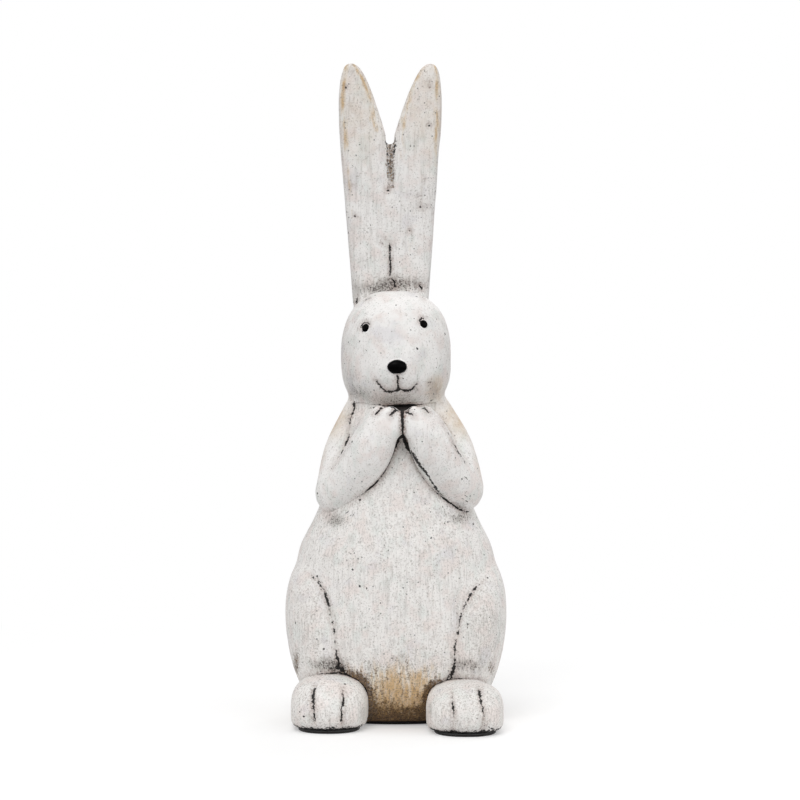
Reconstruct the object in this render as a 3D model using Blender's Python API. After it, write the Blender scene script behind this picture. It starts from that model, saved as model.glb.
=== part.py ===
"""Standing rabbit ornament in whitewashed mineral casting, modelled as the pieces it is put together from.

The hollow body carries a solid head on a steel dowel, and the head carries the joined pair of ears on
two steel rods. Arms, feet and tail are castings of their own, each bonded to the body by a cast peg in a
socket. The eyes and the nose are glossy beads in sockets. The body stands on a pad that covers the plug in
its base, and each foot on a pad of its own. Metres, +Z up, the rabbit faces -Y, and its own right side is
at -X. The origin is the centre of the body's pad, on the ground.
"""

import math

import bmesh
import bpy
from mathutils import Vector

# Gap that the bond fills between any two pieces
SEAT_GAP = 0.0003

# Felt pads under the body and the feet
PAD_THICKNESS = 0.0012
PAD_INSET = 0.0035
PAD_PARTING = 0.0005

# Torso, station by station from the base up: rise from the station below, half width, and depth in front
# of and behind its axis
BASE_HALF_WIDTH = 0.0440
BASE_FRONT = 0.0300
BASE_BACK = 0.0400
HEEL_RISE = 0.0080
HEEL_HALF_WIDTH = 0.0500
HEEL_FRONT = 0.0370
HEEL_BACK = 0.0470
LEG_RISE = 0.0200
LEG_HALF_WIDTH = 0.0555
LEG_FRONT = 0.0435
LEG_BACK = 0.0515
HIP_RISE = 0.0350
HIP_HALF_WIDTH = 0.0605
HIP_FRONT = 0.0480
HIP_BACK = 0.0530
LOIN_RISE = 0.0330
LOIN_HALF_WIDTH = 0.0597
LOIN_FRONT = 0.0465
LOIN_BACK = 0.0480
WAIST_RISE = 0.0250
WAIST_HALF_WIDTH = 0.0490
WAIST_FRONT = 0.0405
WAIST_BACK = 0.0400
CHEST_RISE = 0.0220
CHEST_HALF_WIDTH = 0.0400
CHEST_FRONT = 0.0345
CHEST_BACK = 0.0340
SHOULDER_RISE = 0.0300
SHOULDER_HALF_WIDTH = 0.0305
SHOULDER_FRONT = 0.0275
SHOULDER_BACK = 0.0280
NECK_RISE = 0.0230
NECK_HALF_WIDTH = 0.0235
NECK_FRONT = 0.0205
NECK_BACK = 0.0220
TORSO_SQUARENESS = 2.15

# Haunches: two tall ovals that stand out of the sides of the torso and lean out at the top
HAUNCH_FOOT_RISE = 0.0020
HAUNCH_HALF_HEIGHT = 0.0480
HAUNCH_OUT = 0.0455
HAUNCH_HALF_WIDTH = 0.0205
HAUNCH_LEAN = 0.12
HAUNCH_Y = -0.0043
HAUNCH_HALF_DEPTH = 0.0400

# Hollow of the body and its base hole
WALL = 0.009
CAVITY_TOP_BELOW_SHOULDER = 0.030
CAVITY_DOME_RISE = 0.0054
CAVITY_DOME_SHARE = 0.75
BASE_HOLE_RADIUS = 0.016
PLUG_LIP = 0.004
PLUG_LIP_THICKNESS = 0.0025
PLUG_TAPER = 0.0015

# Head: an egg with full cheeks and a soft muzzle
HEAD_CENTRE_RISE = 0.0220
HEAD_HALF_WIDTH = 0.0333
HEAD_FRONT = 0.0355
HEAD_BACK = 0.0315
HEAD_UP = 0.0383
HEAD_DOWN = 0.0338
HEAD_TOP_SQUARENESS = 2.5
HEAD_CHEEK_SQUARENESS = 2.9
HEAD_PLAN_SQUARENESS = 2.1
MUZZLE_REACH = 0.0050
MUZZLE_DROP = 0.0100
MUZZLE_SPREAD = 0.0150

# Eyes and nose: beads with a domed front
EYE_RADIUS = 0.0024
EYE_DOME = 0.0008
EYE_DEPTH = 0.0035
RIGHT_EYE_OUT = 0.0182
RIGHT_EYE_RISE = 0.0156
LEFT_EYE_OUT = 0.0167
LEFT_EYE_RISE = 0.0179
NOSE_HALF_WIDTH = 0.0056
NOSE_HALF_HEIGHT = 0.0038
NOSE_DOME = 0.0018
NOSE_DEPTH = 0.0030
NOSE_DROP = 0.0078
NOSE_X = 0.0008

# Mouth: a line down from the nose and a shallow curve to each side, as drops below the head's centre
MOUTH_GROOVE = 0.0006
MOUTH_STEM_TOP_DROP = 0.0128
MOUTH_STEM_FOOT_DROP = 0.0195
MOUTH_CURVE_OUT = 0.0050
MOUTH_CURVE_DROP = 0.0226
MOUTH_CORNER_OUT = 0.0136
MOUTH_CORNER_DROP = 0.0152

# Ears: two leaf-shaped lobes in one casting, grown into each other below the notch between them
EAR_ROOT_BELOW_CROWN = 0.0038
EAR_SINK = 0.016
EAR_STRAIGHT = 0.0908
EAR_POINT = 0.0540
EARS_ROOT_SPREAD = 0.0232
EARS_FULL_SPREAD = 0.0302
EAR_ROOT_OVERLAP = 0.0062
EAR_PARTING_START = 0.0450
EAR_CLEFT_FOOT_RISE = 0.0683
EAR_CLEFT_FOOT_OVERLAP = 0.0004
EAR_CLEFT_HALF_GAP = 0.0022
EAR_POINT_RISE_OVER_CLEFT = 0.0094
EAR_POINT_OVERLAP = -0.0001
EAR_WEB_FOOT_RISE = 0.0520
EAR_WEB_RISE_OVER_CLEFT = 0.0037
EAR_WEB_HALF_THICKNESS = 0.0034
EAR_WEB_LAP = 0.0025
EAR_ROOT_HALF_THICKNESS = 0.0088
EAR_FULL_HALF_THICKNESS = 0.0076
EAR_SQUARENESS = 2.5
EAR_TAPER = 1.2
EAR_BLUNTNESS = 2.4
EAR_THICKNESS_TAPER = 0.8
RIGHT_EAR_SPLAY = 0.0084
LEFT_EAR_SPLAY = 0.0100
EARS_X = -0.0032
EARS_LEAN_SIDE = -0.0009
EARS_Y = 0.0070
EARS_LEAN_BACK = 0.0060
EAR_HOLLOW = 0.0014
EAR_HOLLOW_SHARE = 0.80
EAR_HOLLOW_FULL_RISE = 0.0450
EAR_CREASE = 0.0008
EAR_CREASE_START = 0.0160
EAR_CREASE_LENGTH = 0.0175

# Arms: an upper arm from the shoulder to the elbow and a forearm up to the paw under the chin
ARMS_X = 0.0026
RIGHT_ELBOW_BELOW_CHEST = 0.0072
LEFT_ELBOW_BELOW_CHEST = 0.0050
ELBOW_SINK = 0.0063
ELBOW_FORWARD = 0.0170
ELBOW_RADIUS = 0.0146
UPPER_ARM_RADIUS = 0.0120
UPPER_ARM_BULGE = 0.0040
SHOULDER_TOP_RADIUS = 0.0108
SHOULDER_TOP_RISE = 0.0110
SHOULDER_TOP_OUT = 0.0220
SHOULDER_TOP_Y = -0.0020
FOREARM_RADIUS = 0.0134
FOREARM_SAG = 0.0036
FOREARM_BOW = 0.0035
FOREARM_LOW_SHARE = 0.40
FOREARM_HIGH_SHARE = 0.75
PAWS_X = 0.0038
PAW_RADIUS = 0.0118
PAW_RISE = 0.0009
PAW_OUT = 0.0133
PAW_FORWARD = 0.0085

# Fingers: three on each paw, side by side along the forearm, given from the innermost one
FINGER_RADIUS = 0.0050
FINGER_SPACING = 0.0062
FINGER_LENGTH = 0.0100
FINGER_REACH = 0.0107
FINGER_FORWARD = 0.0045
FINGERS_OUT = -0.0010
FINGER_SETBACKS = (0.0, 0.0, 0.0036)

# Feet: rounded loaves with two toe grooves each
FOOT_HALF_WIDTH = 0.0225
FOOT_HALF_LENGTH = 0.0290
RIGHT_FOOT_HEIGHT = 0.0300
LEFT_FOOT_HEIGHT = 0.0274
FOOT_WIDEST_RISE = 0.0110
FOOT_SOLE_CUT = 0.0015
FOOT_TOP_SQUARENESS = 2.3
FOOT_SOLE_SQUARENESS = 3.2
FOOT_PLAN_SQUARENESS = 2.4
FOOT_TOP_FULLNESS = 0.85
FOOT_SOLE_FULLNESS = 0.22
FOOT_PAD_SHARE = 0.80
FOOT_PAD_BACK_SHARE = 0.5
RIGHT_FOOT_OUT = 0.0391
LEFT_FOOT_OUT = 0.0402
RIGHT_FOOT_REACH = 0.0290
LEFT_FOOT_REACH = 0.0400
TOE_GROOVE_OUT = 0.0084
TOE_GROOVE_DEPTH = 0.0016
TOE_GROOVE_HALF_WIDTH = 0.0015
TOE_GROOVE_FADE = 0.40

# Tail: a round scut low on the back
TAIL_RADIUS = 0.0140
TAIL_HEIGHT_SHARE = 0.92
TAIL_OUT = 0.0035
TAIL_RISE = 0.0380

# Steel that pins the castings together, and the pegs cast on arms, feet and tail
NECK_DOWEL_RADIUS = 0.0040
NECK_DOWEL_IN_BODY = 0.0220
NECK_DOWEL_IN_HEAD = 0.0260
EAR_ROD_RADIUS = 0.0018
EAR_ROD_IN_HEAD = 0.0220
EAR_ROD_IN_EAR = 0.0700
PEG_RADIUS = 0.0042
PEG_IN_BODY = 0.0055
ARM_PEG_IN_ARM = 0.0033
ARM_PEG_RISE = 0.0060
FOOT_PEG_RISE = 0.0150

# Facets of the round forms
TORSO_SIDES = 48
HAUNCH_SIDES = 28
HAUNCH_RINGS = 14
HEAD_SIDES = 40
HEAD_RINGS = 22
EAR_SIDES = 24
EAR_RING_SPACING = 0.0075
WEB_SIDES = 16
EAR_POINT_RINGS = 9
LIMB_SIDES = 18
FINGER_SIDES = 14
FINGER_CAP_RINGS = 3
GROOVE_SIDES = 6
FOOT_SIDES = 26
FOOT_SECTION_TURNS = [math.radians(turn) for turn in (86, 79, 69, 58, 47)]
TAIL_RINGS = 12
DOME_STEPS = 4
PIN_SIDES = 16
RING_SPACING = 0.0068
MERGE_DISTANCE = 0.000001
NEAR_EDGE = 0.999
FACE_STEP = 0.0007

# How far a cutter runs past the surface that it opens
CUT_PAST = 0.0040

# Angle between facets up to which they are shaded as one surface
SMOOTH_ANGLE = math.radians(35)


def running_heights(start, rises):
    """Heights of stations that each rise from the one below."""
    heights = [start]
    for rise in rises:
        heights.append(heights[-1] + rise)
    return heights


BASE_Z = PAD_THICKNESS + SEAT_GAP
TORSO_HEIGHTS = running_heights(
    BASE_Z,
    (HEEL_RISE, LEG_RISE, HIP_RISE, LOIN_RISE, WAIST_RISE, CHEST_RISE, SHOULDER_RISE, NECK_RISE),
)
CHEST_Z, SHOULDER_Z, NECK_Z = TORSO_HEIGHTS[-3:]
TORSO_HALF_WIDTHS = (
    BASE_HALF_WIDTH, HEEL_HALF_WIDTH, LEG_HALF_WIDTH, HIP_HALF_WIDTH, LOIN_HALF_WIDTH,
    WAIST_HALF_WIDTH, CHEST_HALF_WIDTH, SHOULDER_HALF_WIDTH, NECK_HALF_WIDTH,
)
TORSO_FRONTS = (
    BASE_FRONT, HEEL_FRONT, LEG_FRONT, HIP_FRONT, LOIN_FRONT, WAIST_FRONT, CHEST_FRONT,
    SHOULDER_FRONT, NECK_FRONT,
)
TORSO_BACKS = (
    BASE_BACK, HEEL_BACK, LEG_BACK, HIP_BACK, LOIN_BACK, WAIST_BACK, CHEST_BACK,
    SHOULDER_BACK, NECK_BACK,
)
HEAD_Z = NECK_Z + HEAD_CENTRE_RISE
CROWN_Z = HEAD_Z + HEAD_UP
CHIN_Z = HEAD_Z - HEAD_DOWN
EAR_ROOT_Z = CROWN_Z - EAR_ROOT_BELOW_CROWN


def mix(first, second, share):
    return first + (second - first) * share


def soft_step(value):
    """0 below 0, 1 above 1, and an S-curve between."""
    value = min(max(value, 0.0), 1.0)
    return value * value * (3 - 2 * value)


def signed_power(value, power):
    return math.copysign(abs(value) ** power, value)


def through_stations(places, values, place):
    """Smooth value at a place, through the stations' values, with no overshoot between them."""
    steps = [after - before for before, after in zip(places, places[1:])]
    slopes = [(after - before) / step for before, after, step in zip(values, values[1:], steps)]
    tangents = [slopes[0]]
    for before, after in zip(slopes, slopes[1:]):
        tangents.append(2 * before * after / (before + after) if before * after > 0 else 0.0)
    tangents.append(slopes[-1])
    index = 0
    while index < len(steps) - 1 and place > places[index + 1]:
        index += 1
    share = min(max((place - places[index]) / steps[index], 0.0), 1.0)
    bend_in = share * (1 - share) ** 2 * tangents[index]
    bend_out = share * share * (1 - share) * tangents[index + 1]
    return mix(values[index], values[index + 1], soft_step(share)) + steps[index] * (bend_in - bend_out)


def torso_size(height, shrink=0.0):
    """Half width, front depth and back depth of the torso's outline at a height."""
    return tuple(
        through_stations(TORSO_HEIGHTS, values, height) - shrink
        for values in (TORSO_HALF_WIDTHS, TORSO_FRONTS, TORSO_BACKS)
    )


def oval_point(angle, half_width, front, back, squareness):
    """Point of a squarish oval whose front half, at -Y, may be deeper or flatter than its back half."""
    power = 2 / squareness
    across = half_width * signed_power(math.cos(angle), power)
    along = signed_power(math.sin(angle), power)
    return across, along * (back if along > 0 else front)


def oval_depth(across, half_width, depth, squareness):
    """How far from its axis an oval's surface lies, at a distance across."""
    share = min(abs(across) / half_width, NEAR_EDGE)
    return depth * (1 - share**squareness) ** (1 / squareness)


def torso_front_y(across, height):
    half_width, front, _ = torso_size(height)
    return -oval_depth(across, half_width, front, TORSO_SQUARENESS)


def angles(count):
    return [2 * math.pi * step / count for step in range(count)]


def torso_ring(height, shrink=0.0, sides=TORSO_SIDES):
    half_width, front, back = torso_size(height, shrink)
    return [
        Vector((*oval_point(angle, half_width, front, back, TORSO_SQUARENESS), height))
        for angle in angles(sides)
    ]


def stepped(start, end, spacing):
    """Even steps from start to end, about a spacing apart."""
    count = max(round((end - start) / spacing), 2)
    return [mix(start, end, step / count) for step in range(count + 1)]


def head_surface(angle, latitude):
    """Point of the head, from its angle round the vertical axis and its latitude above the equator."""
    squareness = HEAD_TOP_SQUARENESS if latitude > 0 else HEAD_CHEEK_SQUARENESS
    power = 2 / squareness
    reach = math.cos(latitude) ** power
    x, y = oval_point(
        angle, HEAD_HALF_WIDTH * reach, HEAD_FRONT * reach, HEAD_BACK * reach, HEAD_PLAN_SQUARENESS
    )
    z = signed_power(math.sin(latitude), power) * (HEAD_UP if latitude > 0 else HEAD_DOWN)
    return Vector((x, y + muzzle_shift(x, y, z), HEAD_Z + z))


def muzzle_shift(x, y, z):
    """The muzzle's push forward, at a point given from the head's centre."""
    if y >= 0:
        return 0.0
    spread = (x * x + (z + MUZZLE_DROP) ** 2) / MUZZLE_SPREAD**2
    return -MUZZLE_REACH * math.exp(-spread) * soft_step(-y / HEAD_FRONT)


def face_point(x, z):
    """Point of the face at a distance to the side and above the head's centre."""
    squareness = HEAD_TOP_SQUARENESS if z > 0 else HEAD_CHEEK_SQUARENESS
    half_height = HEAD_UP if z > 0 else HEAD_DOWN
    reach = (1 - (abs(z) / half_height) ** squareness) ** (1 / squareness)
    y = -oval_depth(x, HEAD_HALF_WIDTH * reach, HEAD_FRONT * reach, HEAD_PLAN_SQUARENESS)
    return Vector((x, y + muzzle_shift(x, y, z), HEAD_Z + z))


def face_normal(x, z):
    """Outward direction of the face at a point."""
    across = face_point(x + FACE_STEP, z) - face_point(x - FACE_STEP, z)
    upward = face_point(x, z + FACE_STEP) - face_point(x, z - FACE_STEP)
    return across.cross(upward).normalized()


def shade_smooth(mesh):
    mesh.shade_smooth()
    mesh.set_sharp_from_angle(angle=SMOOTH_ANGLE)


def place(name, mesh, material):
    """The mesh as an object of the scene, with a material if it is a piece and not a cutter."""
    made = bpy.data.objects.new(name, mesh)
    bpy.context.scene.collection.objects.link(made)
    shade_smooth(mesh)
    if material:
        mesh.materials.append(material)
    return made


def grow_out(builder, distance):
    """Moves every vertex out along its normal."""
    builder.normal_update()
    for vertex in builder.verts:
        vertex.co += vertex.normal * distance


def lofted(name, rings, start_tip=None, end_tip=None, grow=0.0, material=None):
    """A closed skin over rings of points. Each end closes to a tip, or with a flat cap."""
    builder = bmesh.new()
    loops = [[builder.verts.new(point) for point in ring] for ring in rings]
    for lower, upper in zip(loops, loops[1:]):
        for here in range(len(lower)):
            after = (here + 1) % len(lower)
            builder.faces.new((lower[here], lower[after], upper[after]))
            builder.faces.new((lower[here], upper[after], upper[here]))
    for loop, tip in ((loops[0], start_tip), (loops[-1], end_tip)):
        if tip is None:
            builder.faces.new(loop)
            continue
        point = builder.verts.new(tip)
        for here in range(len(loop)):
            builder.faces.new((loop[here], loop[(here + 1) % len(loop)], point))
    bmesh.ops.recalc_face_normals(builder, faces=builder.faces)
    if grow:
        grow_out(builder, grow)
    mesh = bpy.data.meshes.new(name)
    builder.to_mesh(mesh)
    builder.free()
    return place(name, mesh, material)


def turned(name, profile, material=None, squash=(1, 1, 1)):
    """A turned solid on the Z axis. The profile runs from axis to axis as (radius, height) points."""
    builder = bmesh.new()
    points = [builder.verts.new((radius, 0, height)) for radius, height in profile]
    edges = [builder.edges.new(pair) for pair in zip(points, points[1:])]
    bmesh.ops.spin(
        builder, geom=points + edges, cent=(0, 0, 0), axis=(0, 0, 1), angle=2 * math.pi,
        steps=PIN_SIDES, use_merge=True,
    )
    bmesh.ops.remove_doubles(builder, verts=builder.verts, dist=MERGE_DISTANCE)
    bmesh.ops.scale(builder, vec=squash, verts=builder.verts)
    bmesh.ops.recalc_face_normals(builder, faces=builder.faces)
    mesh = bpy.data.meshes.new(name)
    builder.to_mesh(mesh)
    builder.free()
    return place(name, mesh, material)


def pin(name, start, end, radius, material=None, grow=0.0):
    """A straight round pin from start to end."""
    start, end = Vector(start), Vector(end)
    direction = (end - start).normalized()
    length = (end - start).length
    made = turned(
        name,
        [(0, -grow), (radius + grow, -grow), (radius + grow, length + grow), (0, length + grow)],
        material,
    )
    stand(made, start, direction)
    return made


def stand(made, base, direction):
    """Puts a turned piece's foot at a point and its axis along a direction."""
    made.location = base
    made.rotation_mode = "QUATERNION"
    made.rotation_quaternion = direction.to_track_quat("Z", "Y")


def boolean(target, operation, other):
    """Cuts or joins another mesh into the target. The other one stays as a hidden guide."""
    modifier = target.modifiers.new(other.name, "BOOLEAN")
    modifier.operation = operation
    modifier.object = other
    modifier.solver = "EXACT"
    other.hide_render = True
    other.display_type = "WIRE"


def cut(target, *cutters):
    for cutter in cutters:
        boolean(target, "DIFFERENCE", cutter)


def join(target, *others):
    for other in others:
        boolean(target, "UNION", other)


def finish_material(name, colour, roughness, metallic=0.0):
    made = bpy.data.materials.new(name)
    made.use_nodes = True
    shader = made.node_tree.nodes["Principled BSDF"]
    shader.inputs["Base Color"].default_value = (*colour, 1)
    shader.inputs["Roughness"].default_value = roughness
    shader.inputs["Metallic"].default_value = metallic
    return made


def casting(name):
    """Whitewashed mineral casting, one material for each piece."""
    return finish_material(name + "_whitewash", (0.80, 0.77, 0.74), 0.85)


def torso_loft(name, grow=0.0, material=None):
    heights = [TORSO_HEIGHTS[0]]
    for lower, upper in zip(TORSO_HEIGHTS, TORSO_HEIGHTS[1:]):
        heights += stepped(lower, upper, RING_SPACING)[1:]
    return lofted(name, [torso_ring(height) for height in heights], grow=grow, material=material)


def haunch_axis(side, rise):
    """Middle of one haunch at a rise above its widest place."""
    height = BASE_Z + HAUNCH_FOOT_RISE + HAUNCH_HALF_HEIGHT + rise
    return Vector((side * (HAUNCH_OUT + HAUNCH_LEAN * rise), HAUNCH_Y, height))


def haunch_loft(name, side, grow=0.0):
    """One haunch: a tall oval form, sheared so that its top leans out."""
    rings = []
    for latitude in stepped(-math.pi / 2, math.pi / 2, math.pi / HAUNCH_RINGS)[1:-1]:
        centre = haunch_axis(side, HAUNCH_HALF_HEIGHT * math.sin(latitude))
        reach = math.cos(latitude)
        rings.append([
            centre + Vector((
                HAUNCH_HALF_WIDTH * reach * math.cos(angle), HAUNCH_HALF_DEPTH * reach * math.sin(angle), 0
            ))
            for angle in angles(HAUNCH_SIDES)
        ])
    tips = [haunch_axis(side, rise) for rise in (-HAUNCH_HALF_HEIGHT, HAUNCH_HALF_HEIGHT)]
    return lofted(name, rings, *tips, grow=grow)


def head_loft(name, grow=0.0, material=None):
    latitudes = stepped(-math.pi / 2, math.pi / 2, math.pi / HEAD_RINGS)
    rings = [[head_surface(angle, latitude) for angle in angles(HEAD_SIDES)] for latitude in latitudes[1:-1]]
    return lofted(name, rings, (0, 0, CHIN_Z), (0, 0, CROWN_Z), grow, material)


def cavity_loft(name):
    """The hollow of the body: the torso's outline drawn in by the wall, closed by a dome."""
    floor = BASE_Z + WALL
    top = SHOULDER_Z - CAVITY_TOP_BELOW_SHOULDER
    heights = stepped(floor, top - WALL, 2 * RING_SPACING)
    rings = [torso_ring(height, WALL, TORSO_SIDES // 2) for height in heights]
    dome = [
        Vector((point.x * CAVITY_DOME_SHARE, point.y * CAVITY_DOME_SHARE, point.z + CAVITY_DOME_RISE))
        for point in rings[-1]
    ]
    return lofted(name, rings + [dome], end_tip=(0, 0, top))


def neck_dowel_ends():
    return (0, 0, CHIN_Z - NECK_DOWEL_IN_BODY), (0, 0, CHIN_Z + NECK_DOWEL_IN_HEAD)


def ear_edges(rise):
    """How far an ear's outer edge lies from the middle of the pair, and its inner edge laps past it."""
    spread = mix(EARS_ROOT_SPREAD, EARS_FULL_SPREAD, min(rise / EAR_STRAIGHT, 1.0))
    places = (
        0.0, EAR_PARTING_START, EAR_CLEFT_FOOT_RISE, EAR_STRAIGHT, EAR_STRAIGHT + EAR_POINT_RISE_OVER_CLEFT,
        EAR_STRAIGHT + EAR_POINT,
    )
    overlaps = (
        EAR_ROOT_OVERLAP, EAR_ROOT_OVERLAP, EAR_CLEFT_FOOT_OVERLAP, -EAR_CLEFT_HALF_GAP, EAR_POINT_OVERLAP,
        EAR_POINT_OVERLAP,
    )
    return spread, through_stations(places, overlaps, rise)


def ear_half_width(rise):
    """Half width of one ear at a rise above its root."""
    spread, overlap = ear_edges(rise)
    return (spread + overlap) / 2 * ear_point_share(rise)


def ear_past(rise):
    """Share of the ear's point that lies below a rise: 0 up to where the two ears part, 1 at the tip."""
    return min(max((rise - EAR_STRAIGHT) / EAR_POINT, 0.0), 1.0)


def ear_point_share(rise):
    """How much of its full size the ear has left where it runs out to its round point."""
    return (1 - ear_past(rise) ** EAR_TAPER) ** (1 / EAR_BLUNTNESS)


def ear_half_thickness(rise):
    straight = mix(EAR_ROOT_HALF_THICKNESS, EAR_FULL_HALF_THICKNESS, min(rise / EAR_STRAIGHT, 1.0))
    return straight * ear_point_share(rise) ** EAR_THICKNESS_TAPER


def ears_axis(rise):
    """Middle of the pair of ears at a rise above their root."""
    share = rise / (EAR_STRAIGHT + EAR_POINT)
    return Vector((EARS_X + EARS_LEAN_SIDE * share, EARS_Y + EARS_LEAN_BACK * share, EAR_ROOT_Z + rise))


def ear_centre(side, rise):
    spread, overlap = ear_edges(rise)
    splay = (RIGHT_EAR_SPLAY if side < 0 else LEFT_EAR_SPLAY) * ear_past(rise)
    return ears_axis(rise) + Vector((side * ((spread - overlap) / 2 + splay), 0, 0))


def ear_face_depth(across, rise):
    """How far the ear's front face lies before its middle plane, at a distance from the ear's own middle."""
    half_width = ear_half_width(rise)
    hollow = EAR_HOLLOW * ear_point_share(rise) * soft_step(rise / EAR_HOLLOW_FULL_RISE)
    inward = soft_step(1 - (abs(across) / (half_width * EAR_HOLLOW_SHARE)) ** 2)
    return oval_depth(across, half_width, ear_half_thickness(rise), EAR_SQUARENESS) - hollow * inward


def ear_ring(side, rise):
    """Cross-section of one ear, with a shallow hollow in its front face inside a rim."""
    centre = ear_centre(side, rise)
    half_width = ear_half_width(rise)
    half_thickness = ear_half_thickness(rise)
    ring = []
    for angle in angles(EAR_SIDES):
        x, y = oval_point(angle, half_width, half_thickness, half_thickness, EAR_SQUARENESS)
        if y < 0 and abs(x) < half_width * EAR_HOLLOW_SHARE:
            y = -ear_face_depth(x, rise)
        ring.append(centre + Vector((x, y, 0)))
    return ring


def ear_lobe(name, side, material=None):
    rises = stepped(-EAR_SINK, EAR_STRAIGHT, EAR_RING_SPACING)
    turns = [math.pi / 2 * step / EAR_POINT_RINGS for step in range(1, EAR_POINT_RINGS)]
    rises += [EAR_STRAIGHT + EAR_POINT * math.sin(turn) for turn in turns]
    tip = ear_centre(side, EAR_STRAIGHT + EAR_POINT)
    return lofted(name, [ear_ring(side, rise) for rise in rises], end_tip=tip, material=material)


def ear_web(name):
    """Thin web that fills the cleft between the two ears, set back from their faces."""
    rings = []
    for rise in stepped(EAR_WEB_FOOT_RISE, EAR_STRAIGHT + EAR_WEB_RISE_OVER_CLEFT, EAR_RING_SPACING):
        half_width = max(-ear_edges(rise)[1], 0.0) + EAR_WEB_LAP
        sizes = (half_width, EAR_WEB_HALF_THICKNESS, EAR_WEB_HALF_THICKNESS, EAR_SQUARENESS)
        rings.append([
            ears_axis(rise) + Vector((*oval_point(angle, *sizes), 0)) for angle in angles(WEB_SIDES)
        ])
    return lofted(name, rings)


def ear_crease(name):
    """Short groove low down, where the two ears meet."""
    path = []
    for rise in (EAR_CREASE_START, EAR_CREASE_START + EAR_CREASE_LENGTH):
        spread, overlap = ear_edges(rise)
        path.append(ears_axis(rise) - Vector((0, ear_face_depth((spread - overlap) / 2, rise), 0)))
    return groove(name, path, EAR_CREASE)


def ear_rod_ends(side):
    """Start in the head and end in the ear of the rod along one ear's middle."""
    root = ear_centre(side, 0)
    top = ear_centre(side, EAR_ROD_IN_EAR)
    direction = (top - root).normalized()
    return root - direction * EAR_ROD_IN_HEAD, top


def curve_points(points, per_span):
    """Smooth path through the points."""
    ends = [points[0] * 2 - points[1], *points, points[-1] * 2 - points[-2]]
    path = []
    for before, start, end, after in zip(ends, ends[1:], ends[2:], ends[3:]):
        for step in range(per_span):
            share = step / per_span
            path.append(0.5 * (
                2 * start + (end - before) * share
                + (2 * before - 5 * start + 4 * end - after) * share**2
                + (3 * start - before - 3 * end + after) * share**3
            ))
    return path + [points[-1]]


def limb(name, centres, radii, per_span=4, cap_rings=4, sides=LIMB_SIDES, material=None):
    """A round-ended limb along a smooth path, with a radius at each of the path's points."""
    path = curve_points(centres, per_span)
    spans = len(centres) - 1
    places = [index / per_span for index in range(len(path))]
    sizes = [through_stations(list(range(spans + 1)), radii, at) for at in places]
    directions = [
        (path[min(index + 1, len(path) - 1)] - path[max(index - 1, 0)]).normalized()
        for index in range(len(path))
    ]
    stations = list(zip(path, directions, sizes))
    start, end = stations[0], stations[-1]
    turns = [math.pi / 2 * step / cap_rings for step in range(1, cap_rings)]
    head = [(start[0] - start[1] * start[2] * math.sin(turn), start[1], start[2] * math.cos(turn))
            for turn in reversed(turns)]
    tail = [(end[0] + end[1] * end[2] * math.sin(turn), end[1], end[2] * math.cos(turn)) for turn in turns]
    rings = []
    for centre, direction, radius in head + stations + tail:
        across = direction.cross(Vector((0, 1, 0))).normalized()
        upward = across.cross(direction)
        rings.append([
            centre + (across * math.cos(angle) + upward * math.sin(angle)) * radius
            for angle in angles(sides)
        ])
    return lofted(
        name, rings, start[0] - start[1] * start[2], end[0] + end[1] * end[2], material=material
    )


def groove(name, path, radius):
    """Cutter for a round-bottomed groove along a path on a surface."""
    return limb(name, path, [radius] * len(path), per_span=2, cap_rings=2, sides=GROOVE_SIDES)


def elbow_centre(side):
    height = CHEST_Z - (RIGHT_ELBOW_BELOW_CHEST if side < 0 else LEFT_ELBOW_BELOW_CHEST)
    half_width = torso_size(height)[0]
    return Vector((ARMS_X + side * (half_width - ELBOW_SINK), -ELBOW_FORWARD, height))


def shoulder_centre(side):
    height = SHOULDER_Z + SHOULDER_TOP_RISE
    return Vector((ARMS_X / 2 + side * SHOULDER_TOP_OUT, SHOULDER_TOP_Y, height))


def paw_centre(side):
    height = SHOULDER_Z + PAW_RISE
    return Vector((PAWS_X + side * PAW_OUT, torso_front_y(0, height) - PAW_FORWARD, height))


def upper_arm(name, side, material=None):
    shoulder, elbow = shoulder_centre(side), elbow_centre(side)
    middle = (shoulder + elbow) / 2 + Vector((side * UPPER_ARM_BULGE, 0, 0))
    return limb(
        name, [shoulder, middle, elbow], [SHOULDER_TOP_RADIUS, UPPER_ARM_RADIUS, ELBOW_RADIUS],
        material=material,
    )


def forearm(name, side):
    elbow, paw = elbow_centre(side), paw_centre(side)
    bow = Vector((0, -FOREARM_BOW, -FOREARM_SAG))
    low = mix(elbow, paw, FOREARM_LOW_SHARE) + bow
    high = mix(elbow, paw, FOREARM_HIGH_SHARE) + bow
    return limb(name, [elbow, low, high, paw], [ELBOW_RADIUS, FOREARM_RADIUS, FOREARM_RADIUS, PAW_RADIUS])


def fingers(name, side):
    """Three round-ended fingers laid over the front of the paw."""
    along = paw_centre(side) - elbow_centre(side)
    along = Vector((along.x, 0, along.z)).normalized()
    outward = Vector((side * along.z, 0, -side * along.x))
    made = []
    for number, setback in enumerate(FINGER_SETBACKS):
        out = FINGERS_OUT + FINGER_SPACING * (number - 1)
        end = paw_centre(side) + along * (FINGER_REACH - setback) + outward * out
        end.y -= FINGER_FORWARD
        path = [end - along * FINGER_LENGTH, end]
        made.append(limb(
            f"{name}_{number}", path, [FINGER_RADIUS] * 2, per_span=2, cap_rings=FINGER_CAP_RINGS,
            sides=FINGER_SIDES,
        ))
    return made


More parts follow.
